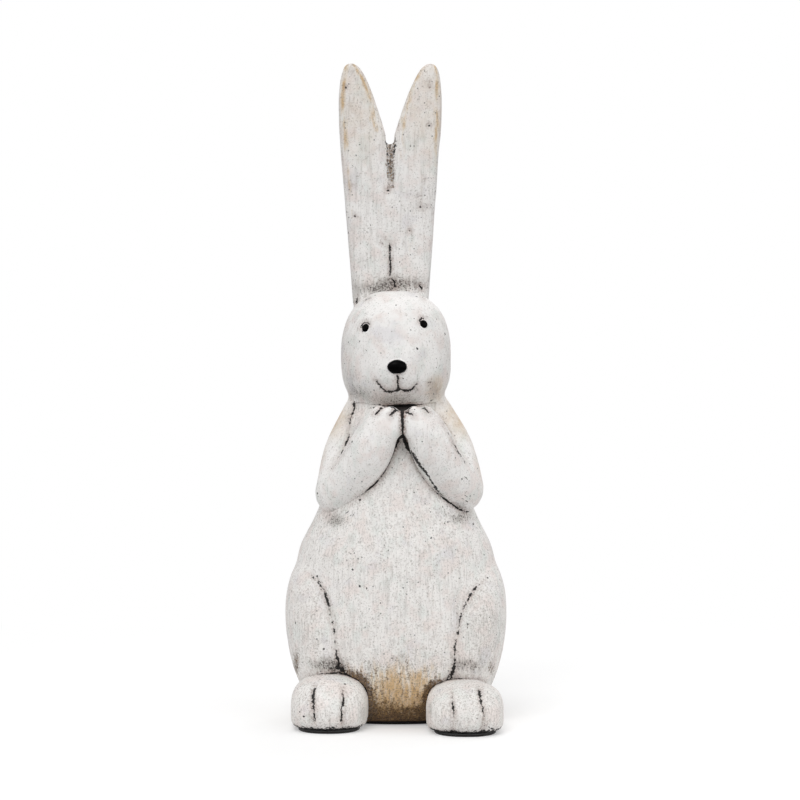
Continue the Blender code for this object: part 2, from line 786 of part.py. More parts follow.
def arm_peg_ends(side):
    """From inside the arm to the end of its socket in the body."""
    height = elbow_centre(side).z + ARM_PEG_RISE
    start = Vector((elbow_centre(side).x, elbow_centre(side).y, height))
    inward = Vector((-start.x, -start.y, 0)).normalized()
    half_width, front, _ = torso_size(height)
    across = (abs(start.x) / half_width) ** TORSO_SQUARENESS
    forward = (abs(start.y) / front) ** TORSO_SQUARENESS
    share = (across + forward) ** (1 / TORSO_SQUARENESS)
    surface = Vector((start.x / share, start.y / share, height))
    return surface - inward * ARM_PEG_IN_ARM, surface + inward * PEG_IN_BODY


def foot_out(side):
    return RIGHT_FOOT_OUT if side < 0 else LEFT_FOOT_OUT


def foot_centre(side):
    reach = RIGHT_FOOT_REACH if side < 0 else LEFT_FOOT_REACH
    height = BASE_Z + FOOT_WIDEST_RISE
    return Vector((side * foot_out(side), torso_front_y(0, height) - reach + FOOT_HALF_LENGTH, height))


def toe_groove(across, toward_front):
    """How far the foot's surface is drawn in at a toe groove."""
    nearest = abs(abs(across) - TOE_GROOVE_OUT)
    depth = TOE_GROOVE_DEPTH * soft_step(toward_front / TOE_GROOVE_FADE)
    return depth * soft_step(1 - nearest / TOE_GROOVE_HALF_WIDTH)


def foot_places_across():
    """Where the foot's sections lie across it: closer together at the toe grooves."""
    edge = [FOOT_HALF_WIDTH * math.sin(turn) for turn in FOOT_SECTION_TURNS]
    groove = [TOE_GROOVE_OUT + TOE_GROOVE_HALF_WIDTH * step for step in (1, 0, -1)]
    outer = [across for across in edge if across > groove[0] + TOE_GROOVE_HALF_WIDTH / 2]
    half = outer + groove + [groove[-1] / 2]
    return [-across for across in half] + [0.0] + list(reversed(half))


def foot_ring(side, across):
    """Section of the foot, in a plane that runs front to back."""
    centre = foot_centre(side)
    height = RIGHT_FOOT_HEIGHT if side < 0 else LEFT_FOOT_HEIGHT
    share = oval_depth(across, FOOT_HALF_WIDTH, 1.0, FOOT_PLAN_SQUARENESS)
    ring = []
    for angle in angles(FOOT_SIDES):
        along, upward = math.cos(angle), math.sin(angle)
        squareness = FOOT_TOP_SQUARENESS if upward > 0 else FOOT_SOLE_SQUARENESS
        half_height = height - FOOT_WIDEST_RISE if upward > 0 else FOOT_WIDEST_RISE + FOOT_SOLE_CUT
        height_share = share ** (FOOT_TOP_FULLNESS if upward > 0 else FOOT_SOLE_FULLNESS)
        drawn_in = 1 - toe_groove(across, -along) / FOOT_HALF_LENGTH
        y = signed_power(along, 2 / squareness) * FOOT_HALF_LENGTH * share * drawn_in
        z = signed_power(upward, 2 / squareness) * half_height * height_share * drawn_in
        ring.append(centre + Vector((across, y, max(z, -FOOT_WIDEST_RISE))))
    return ring


def foot_loft(name, side, material):
    rings = [foot_ring(side, across) for across in foot_places_across()]
    tips = [foot_centre(side) + Vector((edge * FOOT_HALF_WIDTH, 0, 0)) for edge in (-1, 1)]
    return lofted(name, rings, *tips, material=material)


def foot_peg_ends(side):
    height = BASE_Z + FOOT_PEG_RISE
    x = side * foot_out(side)
    surface = torso_front_y(x, height)
    return Vector((x, surface - PEG_IN_BODY, height)), Vector((x, surface + PEG_IN_BODY, height))


def tail_centre():
    height = BASE_Z + TAIL_RISE
    return Vector((0, torso_size(height)[2] + TAIL_OUT, height))


def tail_loft(name, material):
    centre = tail_centre()
    rings = []
    for latitude in stepped(-math.pi / 2, math.pi / 2, math.pi / TAIL_RINGS)[1:-1]:
        reach = TAIL_RADIUS * math.cos(latitude)
        rise = TAIL_RADIUS * TAIL_HEIGHT_SHARE * math.sin(latitude)
        rings.append([
            centre + Vector((reach * math.cos(angle), reach * math.sin(angle), rise))
            for angle in angles(LIMB_SIDES)
        ])
    up = Vector((0, 0, TAIL_RADIUS * TAIL_HEIGHT_SHARE))
    return lofted(name, rings, centre - up, centre + up, material=material)


def tail_peg_ends():
    centre = tail_centre()
    surface = torso_size(centre.z)[2]
    return Vector((0, surface + PEG_IN_BODY, centre.z)), Vector((0, surface - PEG_IN_BODY, centre.z))


def mouth_grooves():
    """The stem under the nose and the curve of the mouth to each side."""
    stem_foot = face_point(NOSE_X, -MOUTH_STEM_FOOT_DROP)
    made = [groove("mouth_stem", [face_point(NOSE_X, -MOUTH_STEM_TOP_DROP), stem_foot], MOUTH_GROOVE)]
    for side, word in ((-1, "right"), (1, "left")):
        curve = [
            stem_foot,
            face_point(NOSE_X + side * MOUTH_CURVE_OUT, -MOUTH_CURVE_DROP),
            face_point(NOSE_X + side * MOUTH_CORNER_OUT, -MOUTH_CORNER_DROP),
        ]
        made.append(groove(word + "_mouth_curve", curve, MOUTH_GROOVE))
    return made


def bead_profile(radius, dome, depth, grow=0.0):
    """A bead on the Z axis: a short stem that fills its socket, with a domed front."""
    profile = [(0, -depth - grow), (radius + grow, -depth - grow), (radius + grow, 0)]
    if grow:
        return profile + [(radius + grow, 2 * dome + grow), (0, 2 * dome + grow)]
    turns = [math.pi / 2 * step / DOME_STEPS for step in range(1, DOME_STEPS)]
    return profile + [(radius * math.cos(turn), dome * math.sin(turn)) for turn in turns] + [(0, dome)]


def bead(name, x, z, half_width, half_height, dome, depth, material=None, grow=0.0):
    """A domed oval bead on the face, or the cutter for its socket."""
    widest = max(half_width, half_height)
    squash = ((half_width + grow) / (widest + grow), (half_height + grow) / (widest + grow), 1)
    made = turned(name, bead_profile(widest, dome, depth, grow), material, squash)
    stand(made, face_point(x, z), face_normal(x, z))
    return made


def oval_plate(name, centre, half_width, front, back, squareness, material, past=0.0):
    """A flat pad with an oval outline, from the ground up to its thickness, or a cutter that runs past it."""
    outline = [oval_point(angle, half_width, front, back, squareness) for angle in angles(TORSO_SIDES)]
    rings = [
        [Vector((centre.x + x, centre.y + y, height)) for x, y in outline]
        for height in (-past, PAD_THICKNESS + past)
    ]
    return lofted(name, rings, material=material)


def base_plate(name, grow=0.0, past=0.0, material=None):
    """The body's own pad, or a cutter with its outline grown by a distance."""
    sizes = torso_size(BASE_Z, PAD_INSET - grow)
    return oval_plate(name, Vector((0, 0, 0)), *sizes, TORSO_SQUARENESS, material, past)


def make_body():
    body = torso_loft("body", material=casting("body"))
    join(body, haunch_loft("right_haunch", -1), haunch_loft("left_haunch", 1))
    cut(body, cavity_loft("body_cavity"), head_loft("head_seat", grow=SEAT_GAP))
    lip = BASE_HOLE_RADIUS + PLUG_LIP
    hole = [
        (0, -CUT_PAST), (lip, -CUT_PAST), (lip, PLUG_LIP_THICKNESS), (BASE_HOLE_RADIUS, PLUG_LIP_THICKNESS),
        (BASE_HOLE_RADIUS, WALL + CUT_PAST), (0, WALL + CUT_PAST),
    ]
    base_hole = turned("base_hole", hole)
    base_hole.location = (0, 0, BASE_Z)
    cut(body, base_hole)
    cut(body, pin("neck_dowel_hole_in_body", *neck_dowel_ends(), NECK_DOWEL_RADIUS, grow=SEAT_GAP))
    for side, word in ((-1, "right"), (1, "left")):
        cut(body, pin(word + "_arm_socket", *arm_peg_ends(side), PEG_RADIUS, grow=SEAT_GAP))
        cut(body, pin(word + "_foot_socket", *foot_peg_ends(side), PEG_RADIUS, grow=SEAT_GAP))
    cut(body, pin("tail_socket", *tail_peg_ends(), PEG_RADIUS, grow=SEAT_GAP))


def make_base_plug():
    """A rubber stopper whose lip lies flush in the base."""
    lip = BASE_HOLE_RADIUS + PLUG_LIP - SEAT_GAP
    neck = BASE_HOLE_RADIUS - SEAT_GAP
    under = PLUG_LIP_THICKNESS - SEAT_GAP
    profile = [(0, 0), (lip, 0), (lip, under), (neck, under), (neck - PLUG_TAPER, WALL), (0, WALL)]
    plug = turned("base_plug", profile, finish_material("plug_rubber", (0.05, 0.05, 0.05), 0.8))
    plug.location = (0, 0, BASE_Z)


def make_head():
    head = head_loft("head", material=casting("head"))
    cut(head, pin("neck_dowel_hole_in_head", *neck_dowel_ends(), NECK_DOWEL_RADIUS, grow=SEAT_GAP))
    for side, word in ((-1, "right"), (1, "left")):
        cut(head, pin(word + "_ear_rod_hole_in_head", *ear_rod_ends(side), EAR_ROD_RADIUS, grow=SEAT_GAP))
    eye = (EYE_RADIUS, EYE_RADIUS, EYE_DOME, EYE_DEPTH)
    nose = (NOSE_HALF_WIDTH, NOSE_HALF_HEIGHT, NOSE_DOME, NOSE_DEPTH)
    for word, x, z, sizes in (
        ("right_eye", -RIGHT_EYE_OUT, RIGHT_EYE_RISE, eye),
        ("left_eye", LEFT_EYE_OUT, LEFT_EYE_RISE, eye),
        ("nose", NOSE_X, -NOSE_DROP, nose),
    ):
        cut(head, bead(word + "_socket", x, z, *sizes, grow=SEAT_GAP))
        bead(word, x, z, *sizes, material=finish_material(word + "_gloss", (0.01, 0.01, 0.01), 0.15))
    cut(head, *mouth_grooves())


def make_ears():
    ears = ear_lobe("ears", -1, casting("ears"))
    join(ears, ear_lobe("left_lobe", 1), ear_web("ear_web"))
    cut(ears, head_loft("crown_seat", grow=SEAT_GAP), ear_crease("ear_crease"))
    for side, word in ((-1, "right"), (1, "left")):
        cut(ears, pin(word + "_ear_rod_hole", *ear_rod_ends(side), EAR_ROD_RADIUS, grow=SEAT_GAP))


def make_pins():
    steel = (0.55, 0.55, 0.56)
    pin("neck_dowel", *neck_dowel_ends(), NECK_DOWEL_RADIUS, finish_material("dowel_steel", steel, 0.35, 1))
    for side, word in ((-1, "right"), (1, "left")):
        rod_steel = finish_material(word + "_rod_steel", steel, 0.35, 1)
        pin(word + "_ear_rod", *ear_rod_ends(side), EAR_ROD_RADIUS, rod_steel)


def paw_divider(name, side):
    """Clears the other paw's half of the space between the paws."""
    near = PAWS_X + side * SEAT_GAP / 2
    far = near - side * HIP_HALF_WIDTH
    front = -HIP_FRONT - HIP_BACK
    corners = ((near, front), (far, front), (far, HIP_BACK), (near, HIP_BACK))
    return lofted(name, [[Vector((x, y, z)) for x, y in corners] for z in (BASE_Z, CROWN_Z)])


def make_arms():
    for side, word in ((-1, "right"), (1, "left")):
        arm = upper_arm(word + "_arm", side, casting(word + "_arm"))
        join(arm, forearm(word + "_forearm", side), *fingers(word + "_finger", side))
        cut(arm, torso_loft(word + "_arm_seat", grow=SEAT_GAP))
        cut(arm, head_loft(word + "_chin_seat", grow=SEAT_GAP))
        cut(arm, paw_divider(word + "_paw_divider", side))
        join(arm, pin(word + "_arm_peg", *arm_peg_ends(side), PEG_RADIUS))


def make_feet():
    for side, word in ((-1, "right"), (1, "left")):
        foot = foot_loft(word + "_foot", side, casting(word + "_foot"))
        cut(foot, torso_loft(word + "_foot_seat", grow=SEAT_GAP))
        cut(foot, haunch_loft(word + "_foot_haunch_seat", side, grow=SEAT_GAP))
        join(foot, pin(word + "_foot_peg", *foot_peg_ends(side), PEG_RADIUS))


def make_tail():
    tail = tail_loft("tail", casting("tail"))
    cut(tail, torso_loft("tail_seat", grow=SEAT_GAP))
    join(tail, pin("tail_peg", *tail_peg_ends(), PEG_RADIUS))


def make_pads():
    black = (0.02, 0.02, 0.02)
    base_plate("base_pad", material=finish_material("base_pad_felt", black, 0.95))
    for side, word in ((-1, "right"), (1, "left")):
        half_length = FOOT_HALF_LENGTH * FOOT_PAD_SHARE
        pad = oval_plate(
            word + "_foot_pad", foot_centre(side), FOOT_HALF_WIDTH * FOOT_PAD_SHARE, half_length,
            half_length * FOOT_PAD_BACK_SHARE, FOOT_PLAN_SQUARENESS,
            finish_material(word + "_foot_pad_felt", black, 0.95),
        )
        cut(pad, base_plate(word + "_pad_parting", grow=PAD_PARTING, past=CUT_PAST))


def main():
    for old in list(bpy.data.objects):
        bpy.data.objects.remove(old)
    make_body()
    make_base_plug()
    make_head()
    make_ears()
    make_pins()
    make_arms()
    make_feet()
    make_tail()
    make_pads()


main()
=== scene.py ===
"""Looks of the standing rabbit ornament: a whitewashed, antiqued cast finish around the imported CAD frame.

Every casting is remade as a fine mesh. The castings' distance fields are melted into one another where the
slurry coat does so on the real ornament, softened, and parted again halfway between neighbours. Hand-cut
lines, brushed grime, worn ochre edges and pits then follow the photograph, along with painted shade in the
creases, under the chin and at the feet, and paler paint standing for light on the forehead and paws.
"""
import math

import bpy
import numpy as np
import openvdb
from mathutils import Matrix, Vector

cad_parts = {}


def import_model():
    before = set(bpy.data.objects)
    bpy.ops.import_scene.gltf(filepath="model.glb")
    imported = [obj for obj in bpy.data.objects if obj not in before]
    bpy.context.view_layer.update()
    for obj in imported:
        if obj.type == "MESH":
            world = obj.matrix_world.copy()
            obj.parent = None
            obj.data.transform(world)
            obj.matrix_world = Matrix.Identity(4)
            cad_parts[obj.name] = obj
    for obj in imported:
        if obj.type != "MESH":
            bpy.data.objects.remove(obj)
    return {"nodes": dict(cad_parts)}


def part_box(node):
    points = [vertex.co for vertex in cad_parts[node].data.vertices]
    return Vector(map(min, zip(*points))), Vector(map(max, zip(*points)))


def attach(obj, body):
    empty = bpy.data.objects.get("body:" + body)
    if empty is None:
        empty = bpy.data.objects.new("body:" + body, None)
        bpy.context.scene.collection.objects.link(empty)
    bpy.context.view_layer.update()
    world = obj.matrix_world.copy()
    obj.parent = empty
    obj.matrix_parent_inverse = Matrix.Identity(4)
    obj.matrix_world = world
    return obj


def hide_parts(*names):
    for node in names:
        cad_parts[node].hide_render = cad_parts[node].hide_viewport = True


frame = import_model()
bpy.context.view_layer.update()

# The camera stands level in front of the ornament, as in the photograph.
CAMERA_DISTANCE = 1.25
CAMERA_HEIGHT = 0.1935
FRAME_PIXELS = 800
FOCAL_PIXELS = 2063.8
AXIS_COLUMN = 396
LEVEL_ROW = 398
SENSOR_WIDTH = 36

# Lattices on which the castings are remade.
FINE = 0.00053
COARSE = 0.0010
BAND = 0.006
MARGIN = 0.009
GAP = 0.0003
VOID_DEPTH = 0.0004
HOLLOW_SHRINK = 0.001
SOFTEN = 0.0012
BODY_SOFTEN = 0.0030
SOFT_START = 0.002
SOFT_REACH = 0.004
CREASE_BLUR = 0.0022
HOLLOW_BLUR = 0.0050

# The castings, and how far the slurry coat fillets one into another.
CASTINGS = ("body", "head", "ears", "right_arm", "left_arm", "right_foot", "left_foot", "tail")
MELTS = {
    ("head", "ears"): 0.0022,
    ("body", "tail"): 0.0030,
    ("body", "right_arm"): 0.0013,
    ("body", "left_arm"): 0.0013,
    ("body", "right_foot"): 0.0012,
    ("body", "left_foot"): 0.0012,
    ("right_arm", "left_arm"): 0.0032,
}
SHOULDER_MELT = 0.0040
SHOULDER_FOOT = 0.176
SHOULDER_TOP = 0.190
# The head melts into the shoulders beside and behind the paws, and stays clear of the paws themselves.
JAW_MELT = 0.0046
PAWS_MIDDLE = 0.0041
PAWS_HALF_WIDTH = 0.0035
PAWS_CLEAR = 0.0100
PAWS_BACK = -0.022
PAWS_END = -0.012
# Beads and steel in the castings, and the gap round each.
SEATED = {
    "body": (("neck_dowel", GAP), ("base_plug", GAP)),
    "head": (("neck_dowel", GAP), ("right_ear_rod", GAP), ("left_ear_rod", GAP),
             ("right_eye", 0.0), ("left_eye", 0.0), ("nose", 0.0)),
    "ears": (("right_ear_rod", GAP), ("left_ear_rod", GAP)),
}
BEADS = ("right_eye", "left_eye", "nose")


def voxel_of(name):
    return COARSE if name == "body" else FINE


def node_mesh(name):
    """The points and triangles of a CAD node."""
    mesh = frame["nodes"][name].data
    points = np.empty(len(mesh.vertices) * 3, np.float32)
    mesh.vertices.foreach_get("co", points)
    mesh.calc_loop_triangles()
    triangles = np.empty(len(mesh.loop_triangles) * 3, np.int32)
    mesh.loop_triangles.foreach_get("vertices", triangles)
    return points.reshape(-1, 3), triangles.reshape(-1, 3)


known_grids = {}


def distance(name, voxel, low, shape):
    """Signed distances to a CAD node on the lattice that starts at the voxel low."""
    if (name, voxel) not in known_grids:
        points, triangles = node_mesh(name)
        known_grids[name, voxel] = openvdb.FloatGrid.createLevelSetFromPolygons(
            points, triangles=triangles, transform=openvdb.createLinearTransform(voxelSize=voxel),
            halfWidth=BAND / voxel)
    values = np.empty(shape, np.float32)
    known_grids[name, voxel].copyToArray(values, ijk=low)
    return values


def flood(free, reached):
    """The part of a region that can be reached from some voxels, by sweeps to and fro along each axis."""
    reached = reached & free
    count = -1
    while count != reached.sum():
        count = reached.sum()
        for axis in range(3):
            swept = np.moveaxis(reached, axis, 0)
            room = np.moveaxis(free, axis, 0)
            for index in range(1, len(swept)):
                swept[index] |= swept[index - 1] & room[index]
            for index in range(len(swept) - 2, -1, -1):
                swept[index] |= swept[index + 1] & room[index]
    return reached


def blur(field, size, voxel):
    """The field after a Gaussian blur of that size in metres."""
    reach = int(math.ceil(3 * size / voxel))
    steps = np.arange(-reach, reach + 1)
    weights = np.exp(-0.5 * (steps * voxel / size) ** 2)
    weights = (weights / weights.sum()).astype(np.float32)
    for axis in range(3):
        padded = np.pad(field, [(reach, reach) if a == axis else (0, 0) for a in range(3)], mode="edge")
        padded = np.moveaxis(padded, axis, 0)
        length = field.shape[axis]
        total = np.zeros_like(padded[:length])
        for step, weight in zip(steps + reach, weights):
            total += weight * padded[step:step + length]
        field = np.ascontiguousarray(np.moveaxis(total, 0, axis))
    return field


def melt(one, other, reach):
    """The nearer of two surfaces, filleted where they are close to each other."""
    share = np.clip(1 - np.abs(one - other) / reach, 0, 1)
    return np.minimum(one, other) - share * share * reach / 4


def ramp(values, start, end):
    """0 up to start, 1 from end, and smooth between."""
    share = np.clip((values - start) / (end - start), 0, 1)
    return share * share * (3 - 2 * share)


def sample(field, places):
    """Trilinear values of a field at places in lattice units."""
    base = np.clip(np.floor(places).astype(np.int64), 0, np.array(field.shape) - 2)
    part = np.clip(places - base, 0, 1).astype(np.float32)
    total = 0
    for corner in np.ndindex(2, 2, 2):
        weight = np.prod(np.where(corner, part, 1 - part), axis=1)
        total = total + weight * field[tuple((base + corner).T)]
    return total


class Casting:
    """The fields round one casting and the mesh that is drawn from them."""

    def __init__(self, name):
        self.name = name
        self.voxel = voxel_of(name)
        low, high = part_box(name)
        self.low = tuple(int(math.floor((value - MARGIN) / self.voxel)) for value in low)
        top = [int(math.ceil((value + MARGIN) / self.voxel)) for value in high]
        self.shape = tuple(end - start for start, end in zip(self.low, top))
        self.read_fields()
        self.draw()

    def field(self, name):
        return distance(name, self.voxel, self.low, self.shape)

    def along(self, axis):
        """Where the lattice's layers lie along an axis, in metres."""
        return (self.low[axis] + np.arange(self.shape[axis])) * self.voxel

    def lattice_places(self):
        """Where the mesh's points lie on the lattice."""
        return self.points / self.voxel - self.low

    def near(self, name):
        """Whether a node's box comes into this casting's lattice."""
        low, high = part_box(name)
        start = [value * self.voxel for value in self.low]
        end = [begin + count * self.voxel for begin, count in zip(start, self.shape)]
        return all(a < d and b > c for a, b, c, d in zip(low, high, start, end))

    def joined(self, together, neighbour, other):
        """The surface so far with a neighbour melted into it, where the two are coated as one."""
        pair = {self.name, other}
        if pair in ({"head", "body"}, {"head", "right_arm"}, {"head", "left_arm"}):
            paws = ramp(-np.abs(self.along(0) - PAWS_MIDDLE), -PAWS_CLEAR, -PAWS_HALF_WIDTH)[:, None]
            share = 1 - paws * ramp(-self.along(1), -PAWS_END, -PAWS_BACK)[None, :]
            share = share.astype(np.float32)[:, :, None]
            return together + share * (melt(together, neighbour, JAW_MELT) - together)
        reach = MELTS.get((self.name, other), MELTS.get((other, self.name), 0.0))
        if pair in ({"body", "right_arm"}, {"body", "left_arm"}):
            share = ramp(self.along(2), SHOULDER_FOOT, SHOULDER_TOP).astype(np.float32)
            reach = reach + share * (SHOULDER_MELT - reach)
        return melt(together, neighbour, reach) if np.any(reach) else together

    def voids(self, crowd):
        """The closed hollows inside and between the castings, which no coat reaches."""
        border = np.ones(self.shape, bool)
        border[1:-1, 1:-1, 1:-1] = False
        free = crowd > VOID_DEPTH
        return free & ~flood(free, border)

    def softened(self, together, others):
        """The melted surface after a blur, which is wider on the open parts of the body."""
        crisp = blur(together, SOFTEN, self.voxel)
        if self.name == "body":
            share = ramp(others, SOFT_START, SOFT_START + SOFT_REACH)
            crisp += share * (blur(together, BODY_SOFTEN, self.voxel) - crisp)
        return crisp

    def parted(self, own):
        """The surface cut off halfway to the neighbours and round what is seated in it, as one piece."""
        solid = np.maximum(self.surface, (own - self.others) / 2)
        for name, gap in SEATED.get(self.name, ()):
            solid = np.maximum(solid, gap - self.field(name))
        seed = np.zeros(self.shape, bool)
        seed[np.unravel_index(np.argmin(own), self.shape)] = True
        kept = flood(solid < 0, seed)
        solid[(solid < 0) & ~kept] = self.voxel / 2
        return solid

    def read_fields(self):
        """The fields that the casting's shape and finish are drawn from."""
        own = self.field(self.name)
        others = np.full(self.shape, BAND, np.float32)
        together = own
        for name in CASTINGS:
            if name == self.name or not self.near(name):
                continue
            neighbour = self.field(name)
            others = np.minimum(others, neighbour)
            together = self.joined(together, neighbour, name)
        for name in BEADS + ("base_plug",):
            if self.near(name):
                together = np.minimum(together, self.field(name))
        crowd = np.minimum(together, others)
        inside = self.voids(crowd)
        together[inside] = -BAND
        crowd[inside] = -BAND
        if self.name == "body":
            own = np.where(inside, own - HOLLOW_SHRINK, own)
        self.surface = self.softened(together, others)
        self.crease = blur(crowd, CREASE_BLUR, self.voxel)
        self.hollow = blur(crowd, HOLLOW_BLUR, self.voxel)
        self.others = others
        self.solid = self.parted(own)

    def draw(self):
        """The casting's surface as points and quads, and the fields at its points."""
        grid = openvdb.FloatGrid(background=BAND)
        grid.transform = openvdb.createLinearTransform(voxelSize=self.voxel)
        grid.copyFromArray(self.solid, ijk=self.low)
        points, quads = grid.convertToQuads(isovalue=0)
        self.points = points.astype(np.float64)
        self.quads = quads[:, ::-1]
        if signed_volume(self.points, self.quads) < 0:
            self.quads = quads
        places = self.lattice_places()
        surface = self.surface
        self.depth = sample(surface, places)
        slopes = [sample(surface, places + step) - sample(surface, places - step) for step in np.eye(3)]
        slope = np.stack(slopes, axis=1)
        self.normals = slope / np.maximum(np.linalg.norm(slope, axis=1, keepdims=True), 1e-9)
        self.creased = sample(self.crease, places) - self.depth
        self.hollowed = sample(self.hollow, places) - self.depth
        self.apart = sample(self.others, places)


def signed_volume(points, quads):
    a, b, c, d = (points[quads[:, i]] for i in range(4))
    return (np.einsum("ij,ij->i", a, np.cross(b, c)) + np.einsum("ij,ij->i", a, np.cross(c, d))).sum()


def hashed(cells, seed):
    """A repeatable number from 0 to 1 for each whole-numbered cell."""
    mixed = cells[:, 0] * 73856093 ^ cells[:, 1] * 19349663 ^ cells[:, 2] * 83492791 ^ seed * 2654435761
    mixed = (mixed ^ (mixed >> 13)) * 1274126177 & 0xFFFFFFFF
    mixed = (mixed ^ (mixed >> 16)) * 2246822519 & 0xFFFFFFFF
    return (mixed & 0xFFFFFF) / float(0xFFFFFF)


def noise(points, size, seed):
    """Smooth noise from -1 to 1 with features of about that size."""
    at = points / size
    cell = np.floor(at).astype(np.int64)
    part = at - cell
    part = part * part * (3 - 2 * part)
    total = 0
    for corner in np.ndindex(2, 2, 2):
        weight = np.prod(np.where(corner, part, 1 - part), axis=1)
        total = total + weight * hashed(cell + np.array(corner), seed)
    return 2 * total - 1


def to_pixels(points):
    """Where points lie in the photograph."""
    away = CAMERA_DISTANCE + points[:, 1]
    column = AXIS_COLUMN + FOCAL_PIXELS * points[:, 0] / away
    row = LEVEL_ROW - FOCAL_PIXELS * (points[:, 2] - CAMERA_HEIGHT) / away
    return np.stack([column, row], axis=1)


# Hand-cut and grimy lines, and lines of painted shadow, as photograph columns and rows with a strength.
MOUTH_STEM = ((398, 375.5, 0.7), (398, 379, 0.95), (398, 384, 0.95), (398.5, 389.5, 1.0))
MOUTH_RIGHT = (
    (376.5, 381, 0.6), (378.2, 383.5, 0.85), (381.7, 388.5, 0.8), (386, 391.7, 0.85), (390.8, 392.8, 0.9),
    (395.2, 391.5, 0.95), (398.5, 389.5, 1.0),
)
MOUTH_LEFT = (
    (398.5, 389.5, 1.0), (402.8, 391.3, 0.9), (407.6, 391.7, 0.9), (411.6, 390.2, 0.85), (414.7, 387, 0.75),
    (417.5, 384.3, 0.6),
)
BROW_RIGHT_DASH = ((365.5, 299, 0.75), (370, 298, 0.7))
BROW_RIGHT_MARK = ((357, 297, 0.7), (356, 303, 0.75))
BROW_LEFT_DASH = ((418.5, 285.5, 0.75), (422.5, 288.5, 0.9))
BROW_LEFT_DOT = ((423.5, 296.5, 0.65), (424, 298, 0.65))
MOUTH_CORNER_SPOT = ((416.5, 388.2, 0.6), (417, 390.5, 0.6))
JAW_DASH = ((428, 383.3, 0.55), (431, 382.4, 0.65))
JAW_SPOT = ((435, 391, 0.6), (434, 395, 0.65))
EYE_LEFT_RING = ((419.8, 323, 0.6), (420.4, 320, 0.72), (422.4, 317.9, 0.8), (425, 318.6, 0.66))
EYE_RIGHT_RING = ((361, 328.5, 0.6), (362.2, 324.4, 0.74), (366.3, 321.9, 0.76), (369.8, 324, 0.6))

EAR_CREASE = (
    (389.6, 243, 0.55), (389.6, 247, 0.78), (390, 254, 0.72), (390.5, 262, 0.85), (390.6, 268, 0.8),
    (390.2, 274, 0.6), (391.5, 278, 0.6), (394.2, 282, 0.75), (394.6, 287, 1.0),
)
# Painted shadow along both edges of the cleft between the ears.
EAR_WEB_SHADOW_RIGHT = ((384.6, 134, 0.45), (385.6, 142, 0.66), (386.9, 152, 0.6), (388.2, 168, 0.5))
EAR_WEB_SHADOW_LEFT = ((397.2, 134, 0.45), (395.6, 142, 0.62), (393.8, 152, 0.58), (392.2, 168, 0.5))
EAR_PITS = (
    (346, 87, 0.75), (430, 87, 0.75), (429.2, 83, 0.6), (429, 125, 0.9), (355.4, 215.4, 0.9),
    (419.8, 206.3, 0.8), (418.2, 196.3, 0.65), (426.7, 207, 0.65), (409.6, 230.4, 0.75), (382.7, 242.5, 0.7),
    (383.8, 238.8, 0.65), (388.5, 190, 0.95), (352.5, 185, 0.55), (425, 180, 0.5),
)

RIGHT_PAW_OUTER = ((384, 405, 1.1), (379.6, 409.8, 0.95), (375.2, 414, 0.85))
RIGHT_PAW_INNER = ((398.5, 408.8, 1.4), (395, 411.4, 1.2), (389.6, 415.6, 0.8))
LEFT_PAW_INNER = ((404.8, 410.5, 1.2), (408.5, 413, 0.9), (412.4, 415.4, 0.7))
LEFT_PAW_OUTER = ((420.6, 405.2, 1.0), (425, 408.8, 0.95), (429.2, 413, 0.8))
# Painted shadow of the chin on the tops of the paws.
PAW_WEDGE_SHADOW = (
    (389, 405, 1.0), (393.5, 406.4, 1.4), (398, 408.6, 1.5), (403, 410.6, 1.4), (408, 408.4, 1.1),
    (412, 406, 0.8),
)
# Dashes of painted shadow under the chin.
CHIN_SHADOW_DASHES = (
    (358, 402.4, 0.7), (362, 403.8, 0.8), (366.5, 405.4, 0.9), (371, 405.8, 1.0), (374.5, 404.6, 0.9),
    (379, 404.9, 0.8),
)
RIGHT_ARM_CREASE = (
    (353.4, 401, 0.62), (354, 407.5, 0.72), (350.5, 419, 0.62), (349.8, 428, 0.4), (349.2, 436, 0.52),
    (347, 443, 0.72), (344.5, 448, 0.52), (339.5, 457, 0.62), (336, 461, 0.45), (331, 468.3, 0.5),
)
LEFT_ARM_CREASE = (
    (440.8, 416, 0.42), (448, 431, 0.48), (455, 445, 0.62), (460.5, 455, 0.5), (466.5, 463.5, 0.46),
)

UNDER_RIGHT_ARM = (
    (401.3, 432.5, 1.3), (398, 441, 1.0), (391, 456.3, 0.6), (384, 469, 0.58), (376, 481.8, 0.6),
    (368, 493.4, 0.5), (358.6, 503.8, 0.44), (345, 515, 0.4), (338, 520, 0.35),
)
UNDER_LEFT_ARM = (
    (402.4, 432.5, 1.5), (405.5, 441, 1.1), (409.5, 449.4, 0.7), (417.6, 462, 0.42), (425.7, 475, 0.4),
    (435, 489, 0.42), (446.6, 501, 0.48), (452, 507, 0.58), (457, 511.5, 0.62), (464, 511, 0.5),
)
LEFT_CHEST_EDGE = (
    (403, 434, 1.5), (404.7, 440, 1.6), (407.7, 447, 1.6), (414.9, 458.5, 1.4), (420.9, 466, 1.05),
    (427.5, 475, 0.72), (434.4, 486, 0.75), (443, 496.5, 0.6), (450, 505, 0.55),
)
RIGHT_CHEST_EDGE = (
    (401, 434, 1.4), (398.6, 439, 1.4), (396.2, 445, 1.2), (391.6, 455, 0.85), (386.5, 464, 0.7),
)
# Painted shadow in the gap between the paws.
PAW_GAP = ((403.4, 410, 1.3), (402.8, 416, 0.8), (402.4, 425, 0.75), (402.2, 430, 1.2), (402.4, 438, 1.6))
# Painted shadow in the crevice under the chin.
CHIN_CREVICE = (
    (384, 405, 0.3), (388, 405.5, 0.9), (396, 408, 1.4), (403, 411, 1.6), (410, 408, 1.3), (418, 405.5, 0.8),
    (422, 404.5, 0.3),
)
